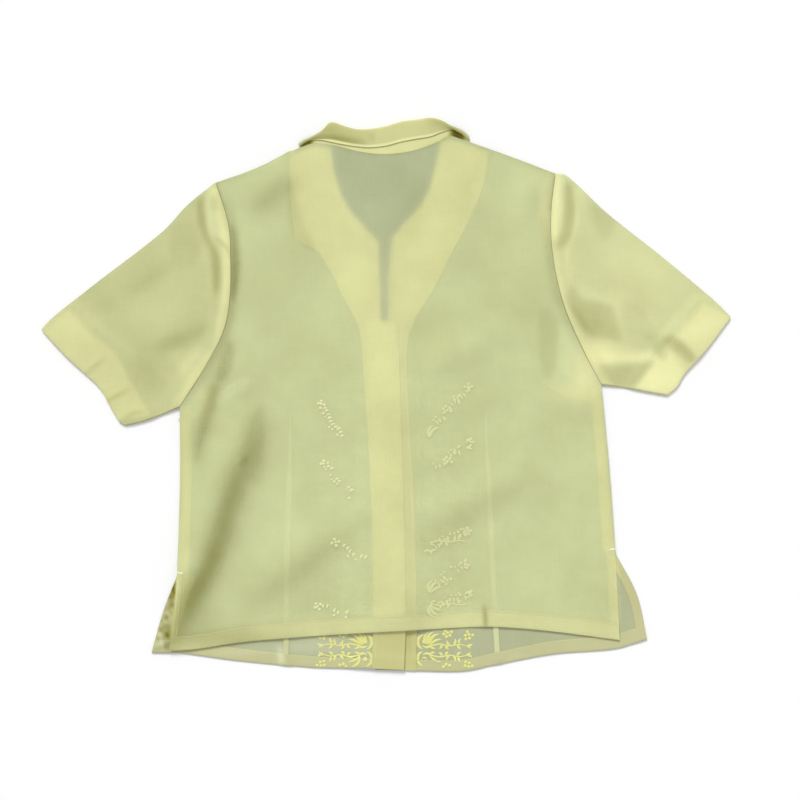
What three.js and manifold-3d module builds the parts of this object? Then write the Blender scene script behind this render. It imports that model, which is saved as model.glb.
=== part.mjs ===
// Short-sleeved organza blouse, laid flat with its back up. Millimetres, +Z up, +Y towards the neck.
// Every panel is a wall of cloth over a grid that is stretched between its own cut edges, and each
// layer rests on the layers below it. "left" and "right" are the wearer's: left lies at -X.
import * as THREE from 'three';
import { mergeVertices } from 'three/addons/utils/BufferGeometryUtils.js';
import Module from 'manifold-3d';

// ---- Driving sizes -------------------------------------------------------------------------
const WALL = 1.0;            // thickness of one layer of cloth
const LAYER_GAP = 0.4;       // air between two layers that lie on each other
const SEAM_GAP = 0.5;        // space between two pieces that are sewn edge to edge
const PITCH = WALL + LAYER_GAP;

const ROWS = 24;             // grid rows of a body panel, hem to shoulder
const STEP_ROW = 16.25;      // one more row, just over the placket's square top
const BACK_COLUMNS = 24;
const FACING_COLUMNS = 3;
const FRONT_COLUMNS = 9;     // from the facing's edge to the side seam
const LEAF_FIRST_ROW = 20;   // the collar's leaf covers the rows above this one
const SLEEVE_ROWS = 11;      // armhole to cuff
const SLEEVE_COLUMNS = 12;   // top fold to underarm, on the same rows as the body
const COLLAR_STATIONS = 28;

const BUTTON_RADIUS = 5.5;
const BUTTON_THICKNESS = 2.2;
const BUTTON_RIM = 1.3;
const BUTTON_DISH = 0.6;
const BUTTON_HOLE_RADIUS = 0.8;
const BUTTON_HOLE_SPREAD = 1.5;
const BUTTON_COUNT = 5;
const BUTTON_TOP_Y = 65;     // the highest button, and the distance from each to the next
const BUTTON_PITCH = 72;
const BUTTON_LIFT = BUTTON_THICKNESS + LAYER_GAP;
const BUTTON_SIDES = 24;
const BUTTON_HOLE_SIDES = 8;
const BUTTON_BEVEL = 0.5;

const LEAF_LOW_Y = 180;      // lowest point of the collar's leaves
const PLACKET_HIGH_Y = 92;   // top of the overlap of the two fronts
const BUTTON_REACH = 20;     // how far each layer lies off what it passes over: the buttons,
const FRONT_REACH = 20;      // the other front,
const BACK_REACH = 24;       // and all that is under the back
const DRAPE_DIRECTIONS = 12;
const EDGE_SAMPLES = 96;

// ---- Cut edges: `at` is the share of the way along the edge, `corner` breaks its smooth run ----
const VENT_TOP = 4 / ROWS;
const ARMPIT = 12 / ROWS;
const PLACKET_TOP = 16 / ROWS;
const NECK_POINT_V = 20 / ROWS;   // where the V neck closes

const SIDE_LEFT = [
  { at: VENT_TOP, x: -250, y: -216, corner: true },
  { at: 8 / ROWS, x: -247, y: -110 },
  { at: ARMPIT, x: -247, y: -15, corner: true },
  { at: 14 / ROWS, x: -217, y: 32 },
  { at: 16 / ROWS, x: -195, y: 75 },
  { at: 18 / ROWS, x: -187, y: 115 },
  { at: 20 / ROWS, x: -186, y: 163 },
  { at: 22 / ROWS, x: -189, y: 206 },
  { at: 1, x: -204, y: 254 },
];
const SIDE_RIGHT = [
  { at: VENT_TOP, x: 275, y: -190, corner: true },
  { at: 8 / ROWS, x: 267, y: -80 },
  { at: ARMPIT, x: 258, y: 12, corner: true },
  { at: 14 / ROWS, x: 238, y: 50 },
  { at: 16 / ROWS, x: 216, y: 99 },
  { at: 18 / ROWS, x: 204, y: 142 },
  { at: 20 / ROWS, x: 198, y: 184 },
  { at: 22 / ROWS, x: 198, y: 224 },
  { at: 1, x: 203, y: 265 },
];
const BACK_VENT_LEFT = [
  { at: 0, x: -259, y: -307 },
  { at: 2 / ROWS, x: -254, y: -262 },
];
const BACK_VENT_RIGHT = [
  { at: 0, x: 280, y: -294 },
  { at: 2 / ROWS, x: 278, y: -242 },
];
const FRONT_VENT_LEFT = [
  { at: 0, x: -281, y: -309 },
  { at: 2 / ROWS, x: -267, y: -260 },
];
const FRONT_VENT_RIGHT = [
  { at: 0, x: 313, y: -293 },
  { at: 2 / ROWS, x: 301, y: -240 },
];

const BACK_HEM = [
  { at: 0, x: -259, y: -307 },
  { at: 0.06, x: -226, y: -304.5 },
  { at: 0.16, x: -172, y: -296.5 },
  { at: 0.38, x: -54, y: -287 },
  { at: 0.62, x: 73, y: -280 },
  { at: 0.72, x: 125, y: -278 },
  { at: 0.84, x: 189, y: -282.5 },
  { at: 1, x: 280, y: -294 },
];
const BACK_TOP = [
  { at: 0, x: -204, y: 254 },
  { at: 3 / 24, x: -156, y: 271 },
  { at: 6 / 24, x: -103, y: 296, corner: true },
  { at: 7 / 24, x: -86, y: 301 },
  { at: 8 / 24, x: -65, y: 299 },
  { at: 10 / 24, x: -32, y: 291.5 },
  { at: 12 / 24, x: -2, y: 288.5 },
  { at: 14 / 24, x: 30, y: 292 },
  { at: 16 / 24, x: 58, y: 301 },
  { at: 17 / 24, x: 76, y: 311, corner: true },
  { at: 18 / 24, x: 99, y: 303, corner: true },
  { at: 21 / 24, x: 150, y: 285 },
  { at: 1, x: 203, y: 265 },
];

// The left front's hem, shoulder, opening edge, and the inner edge of its facing.
const LEFT_HEM = [
  { at: 0, x: -17, y: -328 },
  { at: 0.26, x: -86, y: -327 },
  { at: 0.6, x: -172, y: -319.5 },
  { at: 0.86, x: -245, y: -310 },
  { at: 1, x: -281, y: -309 },
];
const LEFT_SHOULDER = [
  { at: 0, x: -115, y: 292 },
  { at: 0.5, x: -157, y: 270.5 },
  { at: 1, x: -204, y: 254 },
];
const LEFT_OPENING = [
  { at: 0, x: 22, y: -330 },
  { at: 3 / ROWS, x: 24, y: -269 },
  { at: 9 / ROWS, x: 21, y: -118 },
  { at: PLACKET_TOP, x: 14.5, y: 87, corner: true },
  { at: STEP_ROW / ROWS, x: -5, y: 90, corner: true },
  { at: 18 / ROWS, x: -6, y: 135 },
  { at: NECK_POINT_V, x: -7, y: 183, corner: true },
  { at: 21 / ROWS, x: -29, y: 207 },
  { at: 22 / ROWS, x: -47, y: 231 },
  { at: 23 / ROWS, x: -59, y: 262 },
  { at: 1, x: -65, y: 295 },
];
const LEFT_FACING_EDGE = [
  { at: 0, x: -17, y: -328 },
  { at: 3 / ROWS, x: -15.5, y: -269 },
  { at: 9 / ROWS, x: -18, y: -118 },
  { at: 14 / ROWS, x: -28, y: 40 },
  { at: PLACKET_TOP, x: -34, y: 84 },
  { at: 17 / ROWS, x: -50, y: 114 },
  { at: 18.2 / ROWS, x: -66, y: 147 },
  { at: 19 / ROWS, x: -82, y: 172, corner: true },
  { at: NECK_POINT_V, x: -109, y: 185, corner: true },
  { at: 22 / ROWS, x: -115, y: 242 },
  { at: 1, x: -115, y: 292 },
];

const RIGHT_HEM = [
  { at: 0, x: 36, y: -331 },
  { at: 0.2, x: 91, y: -331.5 },
  { at: 0.34, x: 130, y: -324 },
  { at: 0.6, x: 201, y: -311 },
  { at: 0.86, x: 275, y: -304.5 },
  { at: 1, x: 313, y: -293 },
];
const RIGHT_SHOULDER = [
  { at: 0, x: 124, y: 293.5 },
  { at: 0.5, x: 164, y: 280 },
  { at: 1, x: 203, y: 265 },
];
const RIGHT_OPENING = [
  { at: 0, x: -13, y: -330 },
  { at: 3 / ROWS, x: -12, y: -269 },
  { at: 9 / ROWS, x: -14, y: -118 },
  { at: PLACKET_TOP, x: -23, y: 85, corner: true },
  { at: STEP_ROW / ROWS, x: 0.5, y: 90, corner: true },
  { at: 18 / ROWS, x: 1.5, y: 140 },
  { at: NECK_POINT_V, x: 5, y: 188, corner: true },
  { at: 21 / ROWS, x: 24, y: 211 },
  { at: 22 / ROWS, x: 43, y: 232 },
  { at: 23 / ROWS, x: 56, y: 266 },
  { at: 1, x: 63, y: 301 },
];
const RIGHT_FACING_EDGE = [
  { at: 0, x: 36, y: -331 },
  { at: 3 / ROWS, x: 37, y: -269 },
  { at: 9 / ROWS, x: 33, y: -118 },
  { at: 14 / ROWS, x: 25, y: 45 },
  { at: PLACKET_TOP, x: 33, y: 86 },
  { at: 17 / ROWS, x: 47, y: 110 },
  { at: 18 / ROWS, x: 63, y: 137 },
  { at: 19 / ROWS, x: 77, y: 166 },
  { at: NECK_POINT_V, x: 92, y: 194 },
  { at: 22 / ROWS, x: 115, y: 245 },
  { at: 1, x: 124, y: 293.5 },
];

// Sleeves: the top fold and the underarm run from the armhole to the cuff.
const SLEEVES = {
  left: {
    topFold: [
      { at: 0, x: -204.5, y: 254 },
      { at: 0.16, x: -238, y: 227 },
      { at: 0.32, x: -268, y: 195 },
      { at: 0.7, x: -348, y: 133 },
      { at: 0.92, x: -399, y: 92.5 },
      { at: 1, x: -413, y: 78 },
    ],
    underarm: [
      { at: 0, x: -247.5, y: -15 },
      { at: 0.5, x: -281, y: -29 },
      { at: 0.9, x: -312, y: -37 },
      { at: 1, x: -319, y: -33 },
    ],
    cuff: [
      { at: 0, x: -413, y: 78 },
      { at: 0.3, x: -382, y: 45 },
      { at: 0.58, x: -344, y: 9 },
      { at: 0.82, x: -329, y: -17 },
      { at: 1, x: -319, y: -33 },
    ],
  },
  right: {
    topFold: [
      { at: 0, x: 203.5, y: 265 },
      { at: 0.08, x: 218, y: 261 },
      { at: 0.28, x: 263, y: 219 },
      { at: 0.62, x: 332, y: 164 },
      { at: 0.9, x: 394, y: 112 },
      { at: 1, x: 413, y: 93 },
    ],
    underarm: [
      { at: 0, x: 258.5, y: 12 },
      { at: 0.35, x: 286, y: 8 },
      { at: 0.8, x: 318, y: 2 },
      { at: 1, x: 336, y: -1 },
    ],
    cuff: [
      { at: 0, x: 413, y: 93 },
      { at: 0.3, x: 387, y: 58 },
      { at: 0.66, x: 358, y: 25 },
      { at: 0.88, x: 348, y: 9 },
      { at: 1, x: 336, y: -1 },
    ],
  },
};

// Collar: one row for each section, from the left neck point round the back to the right one.
// seam = where the stand is sewn to the neck, roll = the top fold, edge = the free edge of the fall.
const COLLAR_SECTIONS = [
  { seam: [-101, 298.5], roll: [-105, 300], edge: [-103, 298] },
  { seam: [-95, 301], roll: [-98, 305], edge: [-97, 302] },
  { seam: [-87, 303.5], roll: [-90, 308.5], edge: [-90, 305] },
  { seam: [-77, 302.5], roll: [-77, 316], edge: [-77, 305] },
  { seam: [-64, 300], roll: [-66, 326], edge: [-64, 302.5] },
  { seam: [-48, 296.5], roll: [-49.5, 321.5], edge: [-48, 299.5] },
  { seam: [-34, 293], roll: [-36, 318], edge: [-34, 297.5] },
  { seam: [-19, 290.5], roll: [-20, 318], edge: [-19, 296.5] },
  { seam: [0, 289.5], roll: [0, 321.5], edge: [0, 298.5] },
  { seam: [19, 291.5], roll: [19, 327], edge: [19, 303.5] },
  { seam: [37, 295], roll: [38, 329.5], edge: [38, 307] },
  { seam: [50, 299.5], roll: [53, 331.5], edge: [53, 309.5] },
  { seam: [65, 307.5], roll: [66, 328.5], edge: [65, 314] },
  { seam: [77, 314], roll: [77, 322.5], edge: [78, 318] },
  { seam: [88, 310.5], roll: [87, 318.5], edge: [86, 315] },
  { seam: [95, 307.5], roll: [94, 314.5], edge: [92, 311.5] },
  { seam: [99, 304.5], roll: [100, 308.5], edge: [98, 306] },
];
const COLLAR_FOLD_GAP = 1.2;      // air inside the rolled collar
const COLLAR_ROLL = { pull: 0.3, rise: 0.15 };  // shape of the roll between its tip and its two layers
const COLLAR_END_SECTIONS = 2.5;  // sections over which its ends come down to the front leaves
const LEAF_REACH_NECK = 22;       // how far the leaf runs past the shoulder, at the neck ...
const LEAF_REACH_SHOULDER = 2;    // ... and at its outer edge

// The largest folds of the top layer: soft ridges, each with a start, an end, a half width and a rise.
const FOLDS = [
  { name: 'hip, upper side of the long trough', from: [-170, -45], to: [-248, -235], half: 24, rise: 2.6 },
  { name: 'hip, lower side of the long trough', from: [-128, -62], to: [-192, -290], half: 26, rise: 3.0 },
  { name: 'middle drag line', from: [-15, -150], to: [-150, -262], half: 30, rise: 1.8 },
  { name: 'right hip drag line', from: [190, -92], to: [105, -140], half: 26, rise: 1.6 },
  { name: 'shoulder blade, left', from: [-150, 235], to: [-118, 210], half: 20, rise: 1.2 },
  { name: 'left armhole roll', from: [-222, 236], to: [-196, 165], half: 13, rise: 2.4 },
  { name: 'left sleeve roll', from: [-214, 86], to: [-292, 74], half: 22, rise: 2.6 },
  { name: 'right armhole roll', from: [214, 236], to: [224, 120], half: 14, rise: 2.4 },
  { name: 'right sleeve roll', from: [262, 92], to: [330, 170], half: 28, rise: 2.8 },
];

const FINISHES = {
  organza: { color: '#cfd39b', roughness: 0.8 },
  doubled: { color: '#dedc9a', roughness: 0.8 },
  resin: { color: '#e4e1b4', roughness: 0.35 },
};

// ---- Small tools ---------------------------------------------------------------------------
const wasm = await Module();
wasm.setup();

const mix = (a, b, t) => a + (b - a) * t;
const clamp01 = t => Math.min(1, Math.max(0, t));
const ease = t => clamp01(t) ** 2 * (3 - 2 * clamp01(t));

// A smooth run through the rows of an edge table, broken at its corners.
function edge(rows) {
  const slope = (i, key, other) => {
    const sharp = i === 0 || i === rows.length - 1 || rows[i].corner;
    const a = sharp ? Math.min(i, other) : i - 1;
    const b = sharp ? Math.max(i, other) : i + 1;
    return (rows[b][key] - rows[a][key]) / (rows[b].at - rows[a].at);
  };
  return at => {
    let i = 0;
    while (i < rows.length - 2 && at > rows[i + 1].at) i += 1;
    const span = rows[i + 1].at - rows[i].at;
    const t = clamp01((at - rows[i].at) / span);
    const run = key => {
      const m0 = slope(i, key, i + 1) * span;
      const m1 = slope(i + 1, key, i) * span;
      const p0 = rows[i][key];
      const p1 = rows[i + 1][key];
      return p0 + m0 * t + (3 * (p1 - p0) - 2 * m0 - m1) * t ** 2 + (2 * (p0 - p1) + m0 + m1) * t ** 3;
    };
    return { x: run('x'), y: run('y') };
  };
}

// A patch stretched between four edges: u runs from start to end, v from low to high.
function patch({ start, end, low, high }) {
  return (u, v) => {
    const [s, e, l, h] = [start(v), end(v), low(u), high(u)];
    const [s0, s1, e0, e1] = [start(0), start(1), end(0), end(1)];
    const blend = key => mix(s[key], e[key], u) + mix(l[key], h[key], v)
      - mix(mix(s0[key], e0[key], u), mix(s1[key], e1[key], u), v);
    return { x: blend('x'), y: blend('y') };
  };
}

// The x of an edge at a height y, for edges that climb from hem to shoulder.
function edgeX(curve) {
  const samples = Array.from({ length: EDGE_SAMPLES + 1 }, (_, i) => curve(i / EDGE_SAMPLES));
  return y => {
    let i = 0;
    while (i < samples.length - 2 && y > samples[i + 1].y) i += 1;
    const t = clamp01((y - samples[i].y) / Math.max(samples[i + 1].y - samples[i].y, 0.01));
    return mix(samples[i].x, samples[i + 1].x, t);
  };
}

// The highest value of a height within reach of a point: what a stiff cloth laid there rests on.
function drape(height, reach) {
  return (x, y) => {
    let top = height(x, y);
    for (const share of [0.5, 1]) {
      for (let k = 0; k < DRAPE_DIRECTIONS; k += 1) {
        const turn = 2 * Math.PI * k / DRAPE_DIRECTIONS;
        top = Math.max(top, height(x + reach * share * Math.cos(turn), y + reach * share * Math.sin(turn)));
      }
    }
    return top;
  };
}

function folds(x, y) {
  let rise = 0;
  for (const fold of FOLDS) {
    const [x0, y0] = fold.from;
    const [x1, y1] = fold.to;
    const length2 = (x1 - x0) ** 2 + (y1 - y0) ** 2;
    const t = clamp01(((x - x0) * (x1 - x0) + (y - y0) * (y1 - y0)) / length2);
    const away = Math.hypot(x - mix(x0, x1, t), y - mix(y0, y1, t)) / fold.half;
    rise = Math.max(rise, fold.rise * Math.exp(-(away ** 2)));
  }
  return rise;
}

function mesh(name, geometry, { color, roughness }) {
  const piece = new THREE.Mesh(geometry, new THREE.MeshStandardMaterial({ color, roughness, metalness: 0 }));
  piece.name = name;
  return piece;
}

function geometryOf(positions, index) {
  const geometry = new THREE.BufferGeometry();
  geometry.setAttribute('position', new THREE.Float32BufferAttribute(positions, 3));
  geometry.setIndex(index);
  geometry.computeVertexNormals();
  return geometry;
}

// A wall of cloth over a grid of points, each with its x, y and underside z.
function wall(grid) {
  const rows = grid.length;
  const columns = grid[0].length;
  const positions = [];
  for (const lift of [0, WALL]) {
    for (const row of grid) {
      for (const p of row) positions.push(p.x, p.y, p.z + lift);
    }
  }
  const at = (layer, j, i) => layer * rows * columns + j * columns + i;
  const across = { x: grid[0][columns - 1].x - grid[0][0].x, y: grid[0][columns - 1].y - grid[0][0].y };
  const up = { x: grid[rows - 1][0].x - grid[0][0].x, y: grid[rows - 1][0].y - grid[0][0].y };
  const turned = across.x * up.y - across.y * up.x < 0;
  const index = [];
  const quad = (a, b, c, d) => (turned ? index.push(a, c, b, a, d, c) : index.push(a, b, c, a, c, d));
  for (let j = 0; j < rows - 1; j += 1) {
    for (let i = 0; i < columns - 1; i += 1) {
      quad(at(1, j, i), at(1, j, i + 1), at(1, j + 1, i + 1), at(1, j + 1, i));
      quad(at(0, j, i), at(0, j + 1, i), at(0, j + 1, i + 1), at(0, j, i + 1));
    }
  }
  const rim = [];
  for (let i = 0; i < columns - 1; i += 1) rim.push([0, i]);
  for (let j = 0; j < rows - 1; j += 1) rim.push([j, columns - 1]);
  for (let i = columns - 1; i > 0; i -= 1) rim.push([rows - 1, i]);
  for (let j = rows - 1; j > 0; j -= 1) rim.push([j, 0]);
  rim.forEach(([j, i], k) => {
    const [nextJ, nextI] = rim[(k + 1) % rim.length];
    quad(at(0, j, i), at(0, nextJ, nextI), at(1, nextJ, nextI), at(1, j, i));
  });
  return geometryOf(positions, index);
}

function solidOf(geometry) {
  const bare = geometry.clone();
  bare.deleteAttribute('normal');
  if (bare.attributes.uv) bare.deleteAttribute('uv');
  const merged = mergeVertices(bare, 1e-4);
  return new wasm.Manifold(new wasm.Mesh({
    numProp: 3,
    vertProperties: Float32Array.from(merged.attributes.position.array),
    triVerts: Uint32Array.from(merged.index.array),
  }));
}

function geometryFrom(solid) {
  const { vertProperties, triVerts } = solid.getMesh();
  return geometryOf(Array.from(vertProperties), Array.from(triVerts));
}

// ---- Body panels ---------------------------------------------------------------------------
const rowValues = Array.from({ length: ROWS + 1 }, (_, j) => j / ROWS);
rowValues.splice(PLACKET_TOP * ROWS + 1, 0, STEP_ROW / ROWS);

function frontPlan({ opening, facingEdge, hem, shoulder, vent, side }) {
  const openingEdge = edge(opening);
  const innerEdge = edge(facingEdge);
  const sideEdge = edge([...vent, ...side]);
  const body = patch({ start: innerEdge, end: sideEdge, low: edge(hem), high: edge(shoulder) });
  const grid = rowValues.map(v => {
    const row = [];
    for (let i = 0; i < FACING_COLUMNS; i += 1) {
      const [o, f] = [openingEdge(v), innerEdge(v)];
      const t = i / FACING_COLUMNS;
      row.push({ x: mix(o.x, f.x, t), y: mix(o.y, f.y, t) });
    }
    for (let i = 0; i <= FRONT_COLUMNS; i += 1) row.push(body(i / FRONT_COLUMNS, v));
    return row;
  });
  return { grid, openingX: edgeX(openingEdge), facingX: edgeX(innerEdge) };
}

const leftPlan = frontPlan({
  opening: LEFT_OPENING, facingEdge: LEFT_FACING_EDGE, hem: LEFT_HEM, shoulder: LEFT_SHOULDER,
  vent: FRONT_VENT_LEFT, side: SIDE_LEFT,
});
const rightPlan = frontPlan({
  opening: RIGHT_OPENING, facingEdge: RIGHT_FACING_EDGE, hem: RIGHT_HEM, shoulder: RIGHT_SHOULDER,
  vent: FRONT_VENT_RIGHT, side: SIDE_RIGHT,
});

const buttonX = y => (leftPlan.openingX(y) + rightPlan.openingX(y)) / 2;
const buttonPlaces = Array.from({ length: BUTTON_COUNT }, (_, k) => {
  const y = BUTTON_TOP_Y - k * BUTTON_PITCH;
  return { x: buttonX(y), y };
});
const lowestButtonY = BUTTON_TOP_Y - (BUTTON_COUNT - 1) * BUTTON_PITCH;

// Heights, layer by layer, from the floor: the buttons and the collar's leaves lie on it.
function onFloor(x, y) {
  const overButtons = y > lowestButtonY - BUTTON_REACH && y < BUTTON_TOP_Y + BUTTON_REACH
    && Math.abs(x - buttonX(y)) < BUTTON_RADIUS;
  if (overButtons) return BUTTON_LIFT;
  const inLeaf = y > LEAF_LOW_Y && x > leftPlan.facingX(y) && x < rightPlan.facingX(y)
    && (x < leftPlan.openingX(y) || x > rightPlan.openingX(y));
  return inLeaf ? PITCH : 0;
}
const rightFrontZ = drape(onFloor, BUTTON_REACH);

function belowLeftFront(x, y) {
  const overRight = y < PLACKET_HIGH_Y && x > rightPlan.openingX(y);
  if (!overRight) return onFloor(x, y);
  return rightFrontZ(x, y) + (x < rightPlan.facingX(y) ? 2 : 1) * PITCH;
}
const leftFrontZ = drape(belowLeftFront, FRONT_REACH);

function belowBack(x, y) {
  const onLeft = x < leftPlan.openingX(y);
  const onRight = !onLeft && x > rightPlan.openingX(y);
  if (onLeft) return leftFrontZ(x, y) + (x > leftPlan.facingX(y) ? 2 : 1) * PITCH;
  if (onRight) return rightFrontZ(x, y) + (x < rightPlan.facingX(y) ? 2 : 1) * PITCH;
  return PITCH;
}
const backRest = drape(belowBack, BACK_REACH);

function laid(plan, height) {
  return plan.map(row => row.map(p => ({ x: p.x, y: p.y, z: height(p.x, p.y) })));
}
const leftFront = laid(leftPlan.grid, leftFrontZ);
const rightFront = laid(rightPlan.grid, rightFrontZ);

// A facing is made from its front's own points, moved out by one layer.
function facingOf(front) {
  return front.map(row => row.slice(0, FACING_COLUMNS + 1).map(p => ({ ...p, z: p.z + PITCH })));
}

// Over the side seams, armholes and shoulders the back lies on the fronts' edges.
const backSides = {
  left: edge([...BACK_VENT_LEFT, ...SIDE_LEFT]),
  right: edge([...BACK_VENT_RIGHT, ...SIDE_RIGHT]),
};
const backPatch = patch({
  start: backSides.left, end: backSides.right, low: edge(BACK_HEM), high: edge(BACK_TOP),
});
const backPlan = rowValues.map(v => (
  Array.from({ length: BACK_COLUMNS + 1 }, (_, i) => backPatch(i / BACK_COLUMNS, v))
));
const back = laid(backPlan, (x, y) => backRest(x, y) + folds(x, y));

// ---- Sleeves: two layers that are one tube, open at the armhole and the cuff -------------------
function sleeve(side, outward) {
  const armhole = u => {
    const p = backSides[side](mix(1, ARMPIT, u));
    return { x: p.x + outward * SEAM_GAP, y: p.y };
  };
  const { topFold, underarm, cuff } = SLEEVES[side];
  const shape = patch({ start: edge(topFold), end: edge(underarm), low: armhole, high: edge(cuff) });
  const ring = (v, inset, lowZ, highZ) => {
    const points = Array.from({ length: SLEEVE_COLUMNS + 1 }, (_, i) => shape(i / SLEEVE_COLUMNS, v));
    const [first, last] = [points[0], points[SLEEVE_COLUMNS]];
    const share = inset / Math.hypot(last.x - first.x, last.y - first.y);
    points[0] = { x: mix(first.x, last.x, share), y: mix(first.y, last.y, share) };
    points[SLEEVE_COLUMNS] = { x: mix(last.x, first.x, share), y: mix(last.y, first.y, share) };
    const upper = points.map(p => ({ ...p, z: highZ(p) }));
    const lower = points.map(p => ({ ...p, z: lowZ })).reverse();
    return [...upper, ...lower];
  };
  const topLayerZ = p => PITCH + folds(p.x, p.y);
  const positions = [];
  const ringSize = 2 * (SLEEVE_COLUMNS + 1);
  for (let j = 0; j <= SLEEVE_ROWS; j += 1) {
    const v = j / SLEEVE_ROWS;
    for (const p of ring(v, 0, 0, q => topLayerZ(q) + WALL)) positions.push(p.x, p.y, p.z);
    for (const p of ring(v, WALL, WALL, topLayerZ)) positions.push(p.x, p.y, p.z);
  }
  const at = (j, inner, i) => (2 * j + inner) * ringSize + (i % ringSize);
  const index = [];
  const quad = (a, b, c, d) => (outward > 0 ? index.push(a, c, b, a, d, c) : index.push(a, b, c, a, c, d));
  for (let i = 0; i < ringSize; i += 1) {
    for (let j = 0; j < SLEEVE_ROWS; j += 1) {
      quad(at(j, 0, i), at(j + 1, 0, i), at(j + 1, 0, i + 1), at(j, 0, i + 1));
      quad(at(j, 1, i), at(j, 1, i + 1), at(j + 1, 1, i + 1), at(j + 1, 1, i));
    }
    quad(at(0, 0, i), at(0, 0, i + 1), at(0, 1, i + 1), at(0, 1, i));
    quad(at(SLEEVE_ROWS, 0, i), at(SLEEVE_ROWS, 1, i), at(SLEEVE_ROWS, 1, i + 1), at(SLEEVE_ROWS, 0, i + 1));
  }
  return geometryOf(positions, index);
}

// ---- Collar: a stand and a fall in one rolled wall, with a leaf under each front ----------------
function collarSections() {
  const last = COLLAR_SECTIONS.length - 1;
  const rows = key => COLLAR_SECTIONS.map((row, i) => ({ at: i / last, x: row[key][0], y: row[key][1] }));
  const [seam, roll, fallEdge] = [edge(rows('seam')), edge(rows('roll')), edge(rows('edge'))];
  const height = 2 * WALL + COLLAR_FOLD_GAP;
  return Array.from({ length: COLLAR_STATIONS + 1 }, (_, j) => {
    const t = j / COLLAR_STATIONS;
    const [s, r, f] = [seam(t), roll(t), fallEdge(t)];
    const fromEnd = Math.min(t, 1 - t) * last / COLLAR_END_SECTIONS;
    const z = backRest(s.x, s.y) * ease(fromEnd);
    const back = { x: (s.x + f.x) / 2 - r.x, y: (s.y + f.y) / 2 - r.y };
    const depth = Math.hypot(back.x, back.y);
    const round = Math.min(height, depth) / 2;
    const from = (distance, lift) => ({
      x: r.x + back.x / depth * distance, y: r.y + back.y / depth * distance, z: z + lift, distance,
    });
    const end = (p, lift) => ({ x: p.x, y: p.y, z: z + lift, distance: Math.hypot(p.x - r.x, p.y - r.y) });
    return [
      end(s, 0), from(round, 0), from(round * COLLAR_ROLL.pull, height * COLLAR_ROLL.rise), from(0, height / 2),
      from(round * COLLAR_ROLL.pull, height * (1 - COLLAR_ROLL.rise)), from(round, height),
      end(f, height), end(f, height - WALL), from(round, height - WALL),
      from(Math.min(WALL, round * (1 - COLLAR_ROLL.pull)), height / 2), from(round, WALL), end(s, WALL),
    ];
  });
}

function collarBack() {
  const sections = collarSections();
  const size = sections[0].length;
  const positions = sections.flatMap(section => section.flatMap(p => [p.x, p.y, p.z]));
  const index = [];
  for (let j = 0; j < sections.length - 1; j += 1) {
    for (let i = 0; i < size; i += 1) {
      const [a, b] = [j * size + i, j * size + (i + 1) % size];
      index.push(a, b, b + size, a, b + size, a + size);
    }
  }
  const profile = section => section.map(p => new THREE.Vector2(p.distance, p.z));
  const lastRing = (sections.length - 1) * size;
  for (const [a, b, c] of THREE.ShapeUtils.triangulateShape(profile(sections[0]), [])) index.push(a, b, c);
  for (const [a, b, c] of THREE.ShapeUtils.triangulateShape(profile(sections[sections.length - 1]), [])) {
    index.push(lastRing + a, lastRing + c, lastRing + b);
  }
  return geometryOf(positions, index);
}

function collarLeaf(grid) {
  const rows = grid.slice(-(ROWS - LEAF_FIRST_ROW) - 1).map(row => row.slice(0, FACING_COLUMNS + 1));
  const reach = rows[rows.length - 1].map((p, i) => {
    const t = i / FACING_COLUMNS;
    return { x: p.x, y: p.y + mix(LEAF_REACH_NECK, LEAF_REACH_SHOULDER, t) };
  });
  return wall([...rows, reach].map(row => row.map(p => ({ x: p.x, y: p.y, z: 0 }))));
}

function collar() {
  const parts = [collarBack(), collarLeaf(leftFront), collarLeaf(rightFront)].map(solidOf);
  return geometryFrom(parts[0].add(parts[1]).add(parts[2]));
}

// ---- Buttons: a rimmed disc with a shallow dish and four holes, lying on its face ----------------
function buttonGeometry() {
  const top = BUTTON_THICKNESS;
  const rimX = BUTTON_RADIUS - BUTTON_RIM;
  const profile = [
    [0, 0], [BUTTON_RADIUS - BUTTON_BEVEL, 0], [BUTTON_RADIUS, BUTTON_BEVEL],
    [BUTTON_RADIUS, top - BUTTON_BEVEL], [BUTTON_RADIUS - BUTTON_BEVEL, top], [rimX, top],
    [rimX - BUTTON_BEVEL, top - BUTTON_DISH], [0, top - BUTTON_DISH],
  ].map(([radius, height]) => new THREE.Vector2(radius, height));
  const disc = new THREE.LatheGeometry(profile, BUTTON_SIDES);
  disc.rotateX(-Math.PI / 2);
  disc.translate(0, 0, top);
  let solid = solidOf(disc);
  for (let k = 0; k < 4; k += 1) {
    const turn = Math.PI / 4 + k * Math.PI / 2;
    const hole = new THREE.CylinderGeometry(BUTTON_HOLE_RADIUS, BUTTON_HOLE_RADIUS, 3 * top, BUTTON_HOLE_SIDES);
    hole.rotateX(Math.PI / 2);
    hole.translate(BUTTON_HOLE_SPREAD * Math.cos(turn), BUTTON_HOLE_SPREAD * Math.sin(turn), top / 2);
    solid = solid.subtract(solidOf(hole));
  }
  return geometryFrom(solid);
}

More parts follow.
